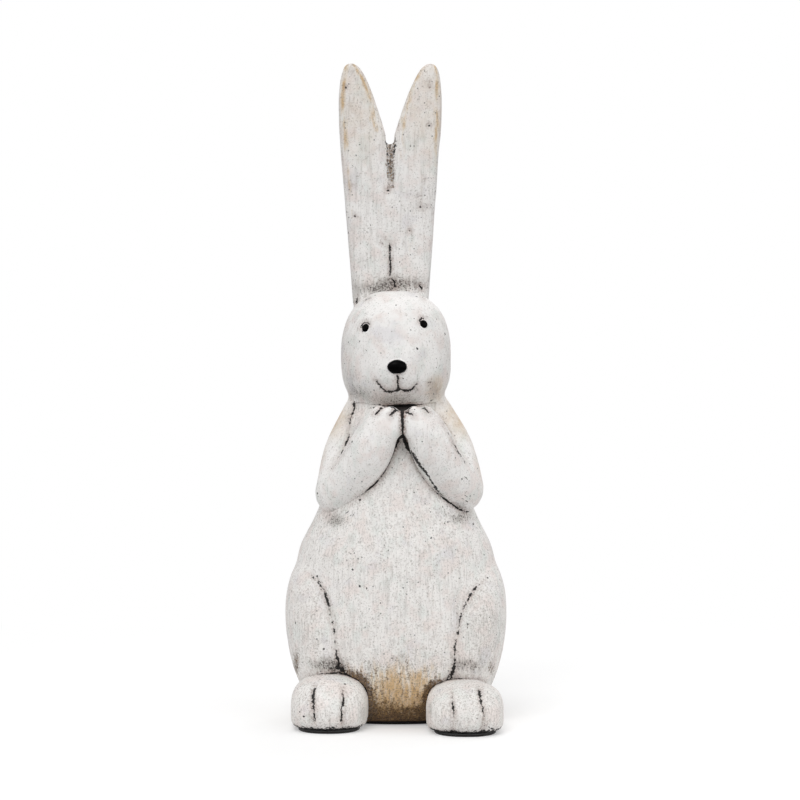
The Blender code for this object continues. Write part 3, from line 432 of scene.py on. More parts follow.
RIGHT_THIGH_LINE = (
    (308, 573, 0.35), (313, 577, 0.48), (319.2, 583.5, 0.58), (324, 592, 0.74), (327.2, 601, 0.76),
    (329.5, 610, 0.64), (332.3, 619.7, 0.47), (334.2, 630, 0.58), (335, 640, 0.46), (336, 649, 0.56),
    (337.6, 658, 0.72), (339.4, 666, 1.0),
)
LEFT_THIGH_LINE = (
    (484, 580, 0.46), (478, 586, 0.54), (470.2, 594.2, 0.66), (465.6, 604, 0.57), (460.6, 617, 0.5),
    (458.4, 629, 0.6), (455.8, 642, 0.54), (454.4, 655, 0.57), (454.4, 667, 0.66), (451.2, 678.6, 0.8),
    (441, 686.4, 0.85), (434.2, 693, 0.8),
)
# Painted shadow where the feet meet the body: lines along the seam and blots beside it.
RIGHT_ANKLE_LINE = (
    (306, 671.5, 0.35), (316, 670, 0.45), (326, 670.5, 0.7), (339, 668, 1.3), (347, 676, 0.75),
    (356, 683.5, 0.6), (364, 690, 0.65),
)
RIGHT_ANKLE_BLOT = (
    (328, 669, 0.5), (336, 667, 0.72), (342, 669.5, 1.25), (347, 676, 0.8), (355, 683.5, 0.64),
    (361, 691, 0.7), (365, 700, 0.6),
)
LEFT_ANKLE_BLOT = (
    (455, 660, 0.5), (452, 671, 0.6), (447, 680, 0.74), (440, 686, 0.6), (433, 692, 0.64), (427, 700, 0.52),
)
LEFT_ANKLE_LINE = ((434, 694, 0.8), (442, 687, 0.75), (452, 680, 0.6), (470, 676, 0.35), (494, 678, 0.3))

RIGHT_OUTER_TOE = (
    (314.3, 686.5, 0.62), (313, 694, 0.8), (312.3, 700.8, 1.0), (313.2, 708, 0.7), (313.8, 715, 0.62),
    (314.8, 722, 0.68),
)
RIGHT_INNER_TOE = (
    (342.7, 687.5, 0.58), (343.8, 695, 0.72), (343.7, 702, 0.78), (342, 711, 0.6), (342.3, 718, 0.8),
    (342.6, 725, 0.6),
)
LEFT_INNER_TOE = (
    (451.9, 692, 0.42), (452.3, 700, 0.5), (453.2, 711.3, 0.82), (453.3, 718, 0.5), (453.2, 731, 0.52),
)
LEFT_OUTER_TOE = (
    (479.8, 688.5, 0.8), (480.6, 696, 0.76), (481.3, 702, 0.7), (484.3, 712, 0.56), (484.3, 720, 0.66),
    (483.2, 729, 0.6),
)
# Painted shadow in the notch where the arms part from the body.
BELLY_NOTCH_SHADOW = ((402.0, 433.5, 1.2), (402.2, 438, 0.9))
APEX_SPOTS = ((402, 449, 0.8), (402.5, 456, 0.7), (402.2, 459.5, 0.8))
BELLY_DOTS = ((448.3, 521.5, 0.9), (417, 518, 0.6))
RIGHT_SOLE_CHIPS = ((333, 727.5, 0.9), (340, 729, 1.0), (337, 726, 0.7), (304, 716, 0.7), (300, 712, 0.6))
LEFT_SOLE_CHIPS = ((491.7, 728.2, 1.1), (489.5, 726.5, 0.8), (495, 722, 0.6), (447, 731, 0.7))
HATCH_FADE = 0.7
DOT_LENGTH = 0.7


def hatch(first, run, step, count, strength):
    """Some short strokes side by side, as lines of photograph columns and rows."""
    strokes = []
    for index in range(count):
        column = first[0] + index * step[0]
        row = first[1] + index * step[1]
        strokes.append(((column, row, strength), (column + run[0], row + run[1], HATCH_FADE * strength)))
    return tuple(strokes)


def dots(places):
    """Short strokes that read as pits, one for each column, row and strength."""
    return tuple(((column, row, force), (column, row + DOT_LENGTH, force)) for column, row, force in places)


BELLY_HATCH = hatch((428, 508), (7, 12), (4.6, -1.0), 5, 0.5)
ELBOW_HATCH = hatch((353, 508), (-13, 10), (2.0, 5.0), 3, 0.52)
FOREARM_HATCH = hatch((459, 481), (8, 7.5), (2.6, -2.6), 3, 0.62)
WRIST_HATCH = hatch((462, 498), (9, 6), (1.8, -3.2), 2, 0.6)

# The lines of each casting, under the half width of their ink in pixels and the depth of their groove.
FACE_LINES = (MOUTH_STEM, MOUTH_RIGHT, MOUTH_LEFT)
FACE_MARKS = (
    BROW_RIGHT_DASH, BROW_RIGHT_MARK, BROW_LEFT_DOT, MOUTH_CORNER_SPOT, JAW_DASH, JAW_SPOT, EYE_LEFT_RING,
    EYE_RIGHT_RING,
)
LINES = {
    "head": ((2.3, 0.0006, FACE_LINES), (2.0, 0.0003, FACE_MARKS), (2.4, 0.0, dots(CHIN_SHADOW_DASHES))),
    "ears": ((2.4, 0.0005, (EAR_CREASE, BROW_LEFT_DASH, BROW_RIGHT_MARK) + dots(EAR_PITS)),
             (3.2, 0.0, (EAR_WEB_SHADOW_RIGHT, EAR_WEB_SHADOW_LEFT))),
    "right_arm": ((2.4, 0.0005, (RIGHT_PAW_OUTER, RIGHT_PAW_INNER)), (2.8, 0.0007, (RIGHT_ARM_CREASE,)),
                  (2.6, 0.0, (PAW_WEDGE_SHADOW,) + dots(CHIN_SHADOW_DASHES)), (2.0, 0.0, ELBOW_HATCH)),
    "left_arm": ((2.4, 0.0005, (LEFT_PAW_INNER, LEFT_PAW_OUTER)), (2.6, 0.0006, (LEFT_ARM_CREASE,)),
                 (2.8, 0.0, (PAW_WEDGE_SHADOW,)), (2.6, 0.0, (LEFT_CHEST_EDGE,)),
                 (1.5, 0.0, FOREARM_HATCH + WRIST_HATCH)),
    "body": ((3.2, 0.0009, (RIGHT_THIGH_LINE, LEFT_THIGH_LINE)), (2.8, 0.0006, (RIGHT_ARM_CREASE,)),
             (4.5, 0.0, (BELLY_NOTCH_SHADOW, PAW_WEDGE_SHADOW)), (2.8, 0.0, (LEFT_CHEST_EDGE, RIGHT_CHEST_EDGE)),
             (3.0, 0.0, (RIGHT_ANKLE_BLOT, LEFT_ANKLE_BLOT)),
             (2.2, 0.0, dots(APEX_SPOTS + BELLY_DOTS) + BELLY_HATCH + ELBOW_HATCH)),
    "right_foot": ((3.0, 0.0010, (RIGHT_OUTER_TOE, RIGHT_INNER_TOE)), (2.6, 0.0, dots(RIGHT_SOLE_CHIPS))),
    "left_foot": ((3.0, 0.0010, (LEFT_OUTER_TOE, LEFT_INNER_TOE)), (2.6, 0.0, dots(LEFT_SOLE_CHIPS))),
}
# Places where the seam between two castings shows as an ink line: a dark joint under the arms, and painted
# shadow under the chin, in the gap between the paws and at the ankles.
SEAMS = {
    "body": (UNDER_RIGHT_ARM, UNDER_LEFT_ARM, RIGHT_ANKLE_LINE, LEFT_ANKLE_LINE, CHIN_CREVICE),
    "head": (CHIN_CREVICE,),
    "right_arm": (CHIN_CREVICE, PAW_GAP, UNDER_RIGHT_ARM),
    "left_arm": (CHIN_CREVICE, PAW_GAP, UNDER_LEFT_ARM),
    "right_foot": (RIGHT_ANKLE_LINE,),
    "left_foot": (LEFT_ANKLE_LINE,),
}
# How far the ink reaches, in pixels along the photograph, in half widths, or in metres from the seam.
INK_SIGHT = 3.6
INK_END = 1.6
NO_INK = 2.0
FORCE_FADE = 0.85
FORCE_END = 1.2
GROOVE_WIDENING = 1.5
GROOVE_FULL = 0.8
SEAM_SIGHT = 13.0
SEAM_START = 0.0007
SEAM_HALF_WIDTH = 0.0009
SEAM_FAR = 4
SEAM_GAIN = 1.5
SEAM_MOST = 1.3
SEAM_TURNED = -0.6
SEAM_FACING = -0.1
# The halo is a brown band of stain and painted shade beside the grooved lines and seams.
HALO_SIGHT = 5.5
HALO_START = 0.0010
HALO_END = 0.0045


def nearest_line(pixels, lines):
    """The signed pixel distance from each place to its nearest line, and that line's strength there."""
    nearest = np.full(len(pixels), INK_SIGHT)
    signed = np.full(len(pixels), INK_SIGHT)
    strength = np.zeros(len(pixels))
    for line in lines:
        for part, (start, end) in enumerate(zip(line, line[1:])):
            run = np.subtract(end[:2], start[:2])
            length = np.hypot(*run)
            from_start = pixels - start[:2]
            along = (from_start @ run) / length
            kept = np.clip(along, 0, length)
            rest = from_start - np.outer(kept / length, run)
            off = np.hypot(rest[:, 0], rest[:, 1])
            closer = off < nearest
            before = np.maximum(-along, 0) if part == 0 else 0
            beyond = np.maximum(along - length, 0) if part == len(line) - 2 else 0
            end_fade = np.clip(1 - (before + beyond) / INK_END, 0, 1)
            force = end_fade * (start[2] + kept / length * (end[2] - start[2]))
            side = np.where(run[0] * rest[:, 1] < run[1] * rest[:, 0], -1, 1)
            nearest = np.where(closer, off, nearest)
            signed = np.where(closer, side * off, signed)
            strength = np.where(closer, force, strength)
    return signed, strength


def line_strength(pixels, reach, lines):
    """How near each pixel place is to some lines: their strength on them, 0 from their reach on."""
    best = np.zeros(len(pixels))
    for line in lines:
        for start, end in zip(line, line[1:]):
            run = np.subtract(end[:2], start[:2])
            along = np.clip((pixels - start[:2]) @ run / (run @ run), 0, 1)
            off = np.linalg.norm(pixels - start[:2] - along[:, None] * run, axis=1)
            best = np.maximum(best, (start[2] + along * (end[2] - start[2])) * (1 - off / reach))
    return best


# Soft marks, each a centre, three half sizes in metres, and a strength.
SHOULDER_TAN = (
    ((-0.036, -0.006, 0.180), (0.016, 0.022, 0.022), 0.9),
    ((0.037, -0.006, 0.180), (0.018, 0.022, 0.022), 1.0),
    ((0.027, -0.020, 0.193), (0.012, 0.020, 0.012), 0.8),
    ((0.025, -0.026, 0.199), (0.011, 0.022, 0.012), 1.0),
    ((0.049, -0.010, 0.155), (0.008, 0.016, 0.030), 0.5),
    ((-0.044, -0.008, 0.158), (0.008, 0.016, 0.030), 0.4),
    ((-0.022, 0.008, 0.375), (0.024, 0.030, 0.060), 0.45),
    ((0.018, 0.008, 0.375), (0.024, 0.030, 0.060), 0.42),
)


def marks(points, places):
    """The strongest of some soft marks at each point."""
    best = np.zeros(len(points))
    for centre, halves, strength in places:
        off = np.linalg.norm((points - centre) / np.array(halves), axis=1)
        best = np.maximum(best, strength * ramp(-off, -1, -0.2))
    return best


# Ochre lines where the ears' edges are rubbed, and the brown along them and in the cleft between them.
EAR_OCHRE_REACH = 4.0
EAR_OCHRE = (
    ((350, 60.5, 1.1), (346, 66, 1.3), (342.8, 86.1, 1.5), (343, 108.7, 1.4), (345, 126.7, 1.3),
     (346.4, 145.7, 1.1), (348, 175, 0.7), (352, 215, 0.5)),
    ((352.6, 63.5, 1.3), (361.5, 77.1, 1.4), (369, 95.1, 1.5), (374.2, 111.4, 1.6), (376.5, 130, 1.1)),
    ((371.5, 106, 1.6), (372, 117, 2.0), (374.5, 126, 1.4)),
    ((433, 62.6, 1.4), (437.5, 74.4, 1.5), (436.8, 95.1, 1.4), (436.5, 131.2, 1.3), (435, 165, 0.8)),
    ((422, 66.5, 1.1), (414.8, 82.5, 1.3), (407.8, 102.5, 1.3), (403.3, 120.4, 1.2), (401, 156.5, 1.0)),
)
EAR_BROWN_REACH = 3.6
EAR_BROWN = (
    ((345, 66, 0.8), (350, 61.5, 1.0), (356, 64.5, 1.0), (365.5, 78, 0.9), (373, 96, 0.9), (379, 115, 1.0),
     (383.6, 131, 1.1)),
    ((439.5, 69, 0.7), (436, 62.5, 0.9), (429, 61, 0.8), (420, 66, 0.8), (409, 88, 0.8), (402.5, 108, 0.9),
     (398.4, 128, 1.0)),
)
RECESS_REACH = 6.5
RECESS = ((390.6, 143, 1.5), (390.4, 165, 1.1), (391, 186, 0.62))

# Smudges of grime and of painted shade, as a photograph column and row, half width, half height and
# strength; the painted shade lies under the chin, round the roots of the ears and beside the feet, and the
# negative smudge on the chest takes painted shade away.
GRIME_AND_SHADE_SMUDGES = {
    "head": ((396, 402, 40, 10, 0.75), (397, 296, 34, 4, 0.3), (362, 393, 22, 14, 0.7),
             (434, 387, 17, 20, 0.6), (352, 377, 16, 32, 0.5)),
    "ears": ((372, 289, 28, 14, 1.0), (394, 284, 24, 16, 1.2), (416, 284, 20, 15, 0.8),
             (352, 283, 12, 26, 0.5), (432, 285, 8, 22, 0.5), (389, 262, 16, 14, 0.3),
             (422, 205, 16, 40, 0.35), (352, 182, 12, 20, 0.3), (436, 150, 6, 60, 0.2)),
    "body": ((336, 520, 22, 15, 1.0), (460, 518, 20, 12, 1.0), (327, 664, 30, 13, 1.2),
             (472, 666, 26, 13, 0.85), (338, 668, 14, 8, 0.6), (458, 664, 16, 12, 0.5),
             (346, 678, 16, 14, 0.7), (441, 688, 16, 14, 0.8), (402, 452, 12, 22, -0.7),
             (440, 512, 14, 12, 0.35), (462, 552, 10, 20, 0.35), (335, 408, 12, 16, 0.3),
             (455, 600, 12, 50, 0.25), (345, 690, 12, 40, 0.6), (436, 700, 10, 34, 0.6)),
    "right_arm": ((336, 513, 16, 9, 1.0), (349, 420, 9, 26, 0.6), (360, 407, 16, 12, 0.6),
                  (394, 409, 10, 3, 0.7), (344, 450, 8, 12, 0.4), (362, 498, 12, 8, 0.35)),
    "left_arm": ((456, 508, 20, 11, 1.1), (469, 488, 9, 24, 0.35), (452, 436, 7, 22, 0.4),
                 (409, 410, 8, 3, 0.7), (440, 495, 14, 12, 0.5), (422, 466, 8, 14, 0.4),
                 (440, 404, 12, 8, 0.4)),
    "right_foot": ((326, 676, 34, 5, 0.5), (312, 716, 14, 12, 0.3), (362, 712, 6, 16, 0.45)),
    "left_foot": ((466, 682, 30, 5, 0.35), (430, 708, 5, 20, 0.5), (488, 722, 10, 10, 0.35)),
}
# How worn the white is all over a casting.
WORN = {"body": 0.45, "head": 0.1, "ears": 0.25, "right_arm": 0.15, "left_arm": 0.2, "right_foot": 0.6,
        "left_foot": 0.7, "tail": 0.5}
# How far the brush has combed the white into upright streaks.
COMBED = {"body": 0.6, "head": 0.15, "ears": 0.6, "right_arm": 0.15, "left_arm": 0.15, "right_foot": 0.2,
          "left_foot": 0.2, "tail": 0.3}
# Where it is more or less worn than that, in smudges like those of the grime; the paler forehead, muzzle,
# paws and chest are painted light, and the greyer cheeks, underside of the chin, roots of the ears and sides
# of the haunches are painted shade.
WEAR_LIGHT_AND_SHADE_PLACES = {
    "head": ((396, 322, 40, 34, -0.4), (396, 358, 30, 30, -0.2), (345, 360, 14, 44, 0.35),
             (448, 365, 12, 44, 0.3), (398, 400, 50, 12, 0.5)),
    "ears": ((392, 282, 56, 20, 0.5), (389, 160, 60, 40, -0.1)),
    "body": ((403, 665, 50, 24, 0.2), (404, 480, 36, 40, -0.2), (308, 620, 24, 60, 0.35),
             (484, 630, 28, 60, 0.5)),
    "right_arm": ((388, 420, 20, 22, -0.5), (372, 450, 22, 30, -0.2)),
    "left_arm": ((418, 420, 20, 22, -0.5), (436, 455, 22, 30, -0.1)),
    "right_foot": ((328, 700, 26, 24, -0.15),),
}
# Brown stains on the body, in the same way.
BROWN = ((296, 664, 7, 26, 0.8), (491, 668, 8, 14, 0.7), (362, 690, 16, 26, 0.6), (432, 700, 12, 24, 0.55))


def smudges(pixels, places):
    """The sum of some soft smudges at each pixel place."""
    total = np.zeros(len(pixels))
    for column, row, half_width, half_height, strength in places:
        off = np.hypot((pixels[:, 0] - column) / half_width, (pixels[:, 1] - row) / half_height)
        total += strength * ramp(-off, -1, 0)
    return total


# Lumps, dents and grit of the cast surface, each a size, a height and a seed.
RELIEF = ((0.017, 0.00022, 1), (0.006, 0.00009, 2), (0.0016, 0.00003, 3))
# The wobble of the drawn lines: its size in metres and how far it goes in pixels.
WOBBLE_SIZE = 0.0030
WOBBLE = 0.6
# How deep below the coat the relief fades, and how far a surface turns to the front to be in full view.
WALL_FADE = 0.0015
FRONT_FULL = 0.3
# Grime and painted shade in creases and hollows, by how far the blurred surface stands above a crease or a
# hollow.
CREASE_DEPTHS = (0.00012, 0.00060)
CREASE_GRIME_AND_SHADE = 0.75
HOLLOW_DEPTHS = (0.0003, 0.0020)
HOLLOW_GRIME_AND_SHADE = 0.5
GRIME_AND_SHADE_MOST = 1.2
# The ears' rubbed rim, by how far the surface is turned from the front, and the height where it starts.
RIM_FACING = 0.80
RIM_HALF_BAND = 0.17
RIM_GROOVE = 0.00018
RIM_FOOT = 0.31
RIM_FULL = 0.37
RIM_OCHRE = 0.75
PATCH_SIZE = 0.006
RECESS_BROWN = 0.66
EDGE_BROWN = 0.5
# Heights of the stains at the foot of the body, and their photograph columns.
WASH_TOP = 0.047
WASH_FOOT = 0.030
OCHRE_TOP = 0.044
OCHRE_FOOT = 0.016
OCHRE_COLUMN = 403
OCHRE_HALF_WIDTH = 36
OCHRE_SIDES = 0.15
OCHRE_MIDDLE = 0.65
WASH_OCHRE = 0.35
WASH_BROWN = 0.32
BETWEEN_FEET = 391
WASH_HALF_WIDTH = 42
WASH_END = 58
STAIN_TOP = 0.020
STAIN_FOOT = 0.004
SWAY_SIZE = 0.008
SWAY = 0.003
STREAK_SIZE = 0.0018
STREAK_STRETCH = (1, 1, 0.08)
STREAK_RUN = 0.0032
# How close to the feet, and how low, the body is browned as painted shade.
NEAR_FEET = (-0.008, -0.001)
NEAR_FEET_TOP = 0.05
NEAR_FEET_FULL = 0.03
NEAR_FEET_BROWN = 0.6
# The black along the soles, which is painted contact shadow, and the clean lips round the beads, which are
# painted paler as a highlight.
SOLE_SHADOW_INK = 0.9
SOLE_TOP = 0.009
SOLE_FULL = 0.004
SOLE_FOOT = 0.0018
SOLE_HALF_WIDTH = 0.0038
BEAD_LIP_REACH = 0.0011
BEAD_LIP_HEIGHT = 0.00022
BEAD_LIP_HIGHLIGHT = 0.5


def front_facing(normals):
    return ramp(-normals[:, 1], 0.0, FRONT_FULL)


def cut_lines(casting, pixels, paint):
    """The ink and grooves of a casting's lines, some of whose ink is painted shadow: fills in the paint and
    returns how deep the grooves go.
    """
    count = len(casting.points)
    facing = paint["facing"]
    nearest = np.full(count, np.inf)
    paint["off"] = np.full(count, NO_INK)
    paint["force"] = np.zeros(count)
    paint["halo"] = np.zeros(count)
    groove = np.zeros(count)
    for half_width, depth, lines in LINES.get(casting.name, ()):
        signed, strength = nearest_line(pixels, lines)
        share = np.abs(signed) / half_width
        closer = (np.abs(signed) < INK_SIGHT) & (share < nearest)
        nearest = np.where(closer, share, nearest)
        paint["off"] = np.where(closer, signed / half_width, paint["off"])
        inside = ramp(-share, -FORCE_END, -FORCE_FADE)
        paint["force"] = np.where(closer, facing * strength * inside, paint["force"])
        cut = facing * line_strength(pixels, half_width * GROOVE_WIDENING, lines)
        groove = np.maximum(groove, depth * ramp(cut, 0.0, GROOVE_FULL))
        if depth:
            paint["halo"] = np.maximum(paint["halo"], facing * line_strength(pixels, HALO_SIGHT, lines))
    return groove


def seam_ink_and_shadow(casting, pixels, paint):
    """How near the points are to a seam that shows as ink, and the brown halo along it; the ink is painted
    shadow under the chin, between the paws and at the ankles, and the halo is partly painted shade.
    """
    seen = ramp(-casting.normals[:, 1], SEAM_TURNED, SEAM_FACING)
    near_seam = line_strength(pixels, SEAM_SIGHT, SEAMS.get(casting.name, ()))
    paint["close"] = np.clip((casting.apart - SEAM_START) / SEAM_HALF_WIDTH, 0, SEAM_FAR)
    paint["seam"] = seen * np.minimum(SEAM_GAIN * near_seam, SEAM_MOST)
    paint["halo"] = np.maximum(paint["halo"], paint["seam"] * ramp(-casting.apart, -HALO_END, -HALO_START))


def grime_and_painted_shade(casting, pixels, paint):
    """Grime and painted shade in the creases and hollows, and more of both where the photograph shows more
    of it.
    """
    crease = ramp(-casting.creased, *CREASE_DEPTHS)
    hollow = ramp(-casting.hollowed, *HOLLOW_DEPTHS)
    grime_and_shade = np.maximum(CREASE_GRIME_AND_SHADE * crease, HOLLOW_GRIME_AND_SHADE * hollow)
    seen = paint["facing"] * smudges(pixels, GRIME_AND_SHADE_SMUDGES.get(casting.name, ()))
    paint["grime_and_shade"] = np.minimum(grime_and_shade + seen, GRIME_AND_SHADE_MOST)


def bottom_stain_and_shade(casting, pixels, paint):
    """The ochre and brown that run up the foot of the body in streaks, the brown deepened next to the feet
    as painted shade.
    """
    points = casting.points
    runs = STREAK_RUN * noise(points * STREAK_STRETCH, STREAK_SIZE, 21)
    height = points[:, 2] + runs + SWAY * noise(points, SWAY_SIZE, 22)
    aside = np.abs(pixels[:, 0] - OCHRE_COLUMN) / OCHRE_HALF_WIDTH
    middle = ramp(-aside, -1.2, -0.4)
    outside = paint["facing"] * ramp(np.abs(pixels[:, 0] - BETWEEN_FEET), WASH_HALF_WIDTH, WASH_END)
    wash = ramp(-height, -WASH_TOP, -WASH_FOOT) * (1 - outside)
    near_feet = ramp(-points[:, 2], -NEAR_FEET_TOP, -NEAR_FEET_FULL) * ramp(-casting.apart, *NEAR_FEET)
    paint["ochre"] = WASH_OCHRE * wash
    paint["ochre"] += ramp(-height, -OCHRE_TOP, -OCHRE_FOOT) * (OCHRE_SIDES + OCHRE_MIDDLE * middle)
    paint["stain_and_shade"] = WASH_BROWN * wash * (1 - 0.3 * middle)
    paint["stain_and_shade"] += ramp(-height, -STAIN_TOP, -STAIN_FOOT) * (0.95 - 0.15 * middle)
    # Painted shade: browner where the body comes close to the feet.
    paint["stain_and_shade"] += NEAR_FEET_BROWN * near_feet * (1 - outside)
    paint["stain_and_shade"] += paint["facing"] * smudges(pixels, BROWN)


def sole_shadow(casting, paint):
    """The ragged black along the bottom edge of a foot, a painted contact shadow."""
    height = casting.points[:, 2]
    low = SOLE_SHADOW_INK * paint["facing"] * ramp(-height, -SOLE_TOP, -SOLE_FULL)
    paint["seam"] = np.maximum(paint["seam"], low)
    paint["close"] = np.minimum(paint["close"], np.maximum((height - SOLE_FOOT) / SOLE_HALF_WIDTH, 0))


def ear_wear(casting, pixels, paint):
    """The ears' ochre edges and the brown in the cleft; returns the depth of the rubbed rim."""
    turned = np.abs(casting.normals[:, 1])
    rim = 1 - np.clip(np.abs(turned - RIM_FACING) / RIM_HALF_BAND, 0, 1)
    fade = ramp(casting.points[:, 2], RIM_FOOT, RIM_FULL)
    patchy = 0.6 + 0.4 * noise(casting.points, PATCH_SIZE, 31)
    rubbed = paint["facing"] * line_strength(pixels, EAR_OCHRE_REACH, EAR_OCHRE) * patchy
    paint["ochre"] = np.maximum(np.maximum(rubbed, 0), RIM_OCHRE * rim * fade * (1 - paint["facing"]))
    recess = line_strength(pixels, RECESS_REACH, (RECESS,))
    edges = paint["facing"] * line_strength(pixels, EAR_BROWN_REACH, EAR_BROWN)
    paint["stain_and_shade"] = np.maximum(RECESS_BROWN * ramp(recess, 0.22, 0.45), EDGE_BROWN * edges * patchy)
    return RIM_GROOVE * rim * (0.3 + 0.7 * fade)


def bead_lips(casting, paint):
    """The clean lips round the beads, painted paler as a highlight; returns their height."""
    places = casting.lattice_places()
    height = np.zeros(len(places))
    for name in BEADS:
        lip = ramp(-sample(casting.field(name), places), -BEAD_LIP_REACH, -BEAD_LIP_REACH / 3)
        height += BEAD_LIP_HEIGHT * lip
        # Painted highlight: the lip is made paler.
        paint["wear_light_and_shade"] -= BEAD_LIP_HIGHLIGHT * lip
        paint["grime_and_shade"] *= 1 - lip
    return height


def finish_casting(casting):
    """Moves the casting's points by its relief and returns its paint values, one array per attribute."""
    points, normals = casting.points, casting.normals
    wobble = np.stack([noise(points, WOBBLE_SIZE, 11), noise(points, WOBBLE_SIZE, 12)], axis=1)
    pixels = to_pixels(points) + WOBBLE * wobble
    facing = front_facing(normals)
    paint = {"facing": facing, "ochre": np.zeros(len(points)), "stain_and_shade": np.zeros(len(points))}
    relief = sum(height * noise(points, size, seed) for size, height, seed in RELIEF)
    relief -= cut_lines(casting, pixels, paint)
    seam_ink_and_shadow(casting, pixels, paint)
    grime_and_painted_shade(casting, pixels, paint)
    # Wear, with painted light and painted shade from the smudges added to it.
    paint["wear_light_and_shade"] = WORN[casting.name] + facing * smudges(pixels, WEAR_LIGHT_AND_SHADE_PLACES.get(casting.name, ()))
    paint["tan"] = marks(points, SHOULDER_TAN)
    paint["comb"] = np.full(len(points), COMBED[casting.name])
    if casting.name == "ears":
        relief -= ear_wear(casting, pixels, paint)
    elif casting.name == "body":
        bottom_stain_and_shade(casting, pixels, paint)
    elif casting.name == "head":
        relief += bead_lips(casting, paint)
    elif casting.name in ("right_foot", "left_foot"):
        sole_shadow(casting, paint)
    del paint["facing"]
    points += (relief * ramp(casting.depth, -WALL_FADE, 0))[:, None] * normals
    return paint


WALL_ANGLE = math.radians(38)


def placed(name, data):
    """A new object of the scene with that name and data."""
    made = bpy.data.objects.new(name, data)
    bpy.context.scene.collection.objects.link(made)
    return made


def casting_object(casting, paint):
    """The casting as an object of the scene, with its paint values."""
    mesh = bpy.data.meshes.new("cast_" + casting.name)
    mesh.from_pydata(casting.points, [], casting.quads)
    for name, values in paint.items():
        mesh.attributes.new(name, "FLOAT", "POINT").data.foreach_set("value", values.astype(np.float32))
    mesh.shade_smooth()
    mesh.set_sharp_from_angle(angle=WALL_ANGLE)
    return placed("cast_" + casting.name, mesh)


def linear(colour):
    """A screen colour of three numbers up to 255 as Blender's linear colour."""
    shares = [value / 255 for value in colour]
    return tuple(s / 12.92 if s <= 0.04045 else ((s + 0.055) / 1.055) ** 2.4 for s in shares) + (1,)


class Nodes:
    """Short names for the shader nodes that the materials are made of."""

    def __init__(self, name, roughness):
        self.material = bpy.data.materials.new(name)
        self.material.use_nodes = True
        self.tree = self.material.node_tree
        self.shader = self.tree.nodes["Principled BSDF"]
        self.shader.inputs["Roughness"].default_value = roughness
        self.place = self.node("ShaderNodeTexCoord").outputs["Object"]

    def node(self, kind):
        return self.tree.nodes.new(kind)

    def link(self, value, socket):
        if isinstance(value, bpy.types.NodeSocket):
            self.tree.links.new(value, socket)
        else:
            socket.default_value = value

    def stretched(self, scale, turn=(0, 0, 0)):
        """The object's coordinates, turned and then scaled."""
        mapping = self.node("ShaderNodeMapping")
        mapping.inputs["Scale"].default_value = scale
        mapping.inputs["Rotation"].default_value = turn
        self.link(self.place, mapping.inputs["Vector"])
        return mapping.outputs["Vector"]

    def noise(self, size, detail=2, vector=None, distortion=0.0):
        """Noise from 0 to 1 with features of that size in metres."""
        made = self.node("ShaderNodeTexNoise")
        made.inputs["Scale"].default_value = 1 / size
        made.inputs["Detail"].default_value = detail
        made.inputs["Distortion"].default_value = distortion
        self.link(vector or self.place, made.inputs["Vector"])
        return made.outputs["Fac"]

    def cells(self, size):
        """The distance to the nearest of scattered points, and that point's own number."""
        made = self.node("ShaderNodeTexVoronoi")
        made.inputs["Scale"].default_value = 1 / size
        self.link(self.place, made.inputs["Vector"])
        split = self.node("ShaderNodeSeparateColor")
        self.link(made.outputs["Color"], split.inputs["Color"])
        return made.outputs["Distance"], split.outputs["Red"]

    def attribute(self, name):
        made = self.node("ShaderNodeAttribute")
        made.attribute_name = name
        return made.outputs["Fac"]

    def math(self, operation, one, other=0.0):
        made = self.node("ShaderNodeMath")
        made.operation = operation
        self.link(one, made.inputs[0])
        self.link(other, made.inputs[1])
        return made.outputs[0]

    def plus(self, one, other):
        return self.math("ADD", one, other)

    def times(self, one, other):
        return self.math("MULTIPLY", one, other)

    def ramp(self, value, start, end, low=0.0, high=1.0):
        """A smooth step from low to high as the value goes from start to end."""
        made = self.node("ShaderNodeMapRange")
        made.interpolation_type = "SMOOTHSTEP"
        for socket, number in (("From Min", start), ("From Max", end), ("To Min", low), ("To Max", high)):
            made.inputs[socket].default_value = number
        self.link(value, made.inputs["Value"])
        return made.outputs["Result"]

    def mix(self, share, one, other):
        made = self.node("ShaderNodeMix")
        made.data_type = "RGBA"
        self.link(share, made.inputs["Factor"])
        self.link(one, made.inputs["A"])
        self.link(other, made.inputs["B"])
        return made.outputs["Result"]

    def bump(self, height, distance, strength):
        made = self.node("ShaderNodeBump")
        made.inputs["Distance"].default_value = distance
        made.inputs["Strength"].default_value = strength
        self.link(height, made.inputs["Height"])
        self.link(made.outputs["Normal"], self.shader.inputs["Normal"])

    def coloured(self, value):
        self.link(value, self.shader.inputs["Base Color"])

    def roughened(self, value):
        self.link(value, self.shader.inputs["Roughness"])


FRESH_AND_LIT_WHITE = linear((252, 250, 248))
WORN_AND_SHADED_WHITE = linear((234, 231, 227))
ROSY_WHITE = linear((236, 224, 219))
COOL_WHITE = linear((228, 232, 228))
LILAC_GREY = linear((216, 213, 218))
BRUSHED_GREY = linear((160, 152, 146))
# Grey of the grime and of the painted shade in creases and hollows.
GRIME_AND_SHADE_GREY = linear((136, 127, 120))
SPECK_GREY = linear((84, 78, 75))
HALO_ROSE = linear((158, 137, 128))
TAN = linear((211, 188, 158))
OCHRE = linear((203, 162, 103))
OCHRE_PALE = linear((218, 194, 158))
STAIN_AND_SHADE_BROWN = linear((84, 62, 42))
# Black of soot, pits and ink, and of the painted shadows drawn as ink.
SOOT_AND_SHADOW_BLACK = linear((16, 15, 16))
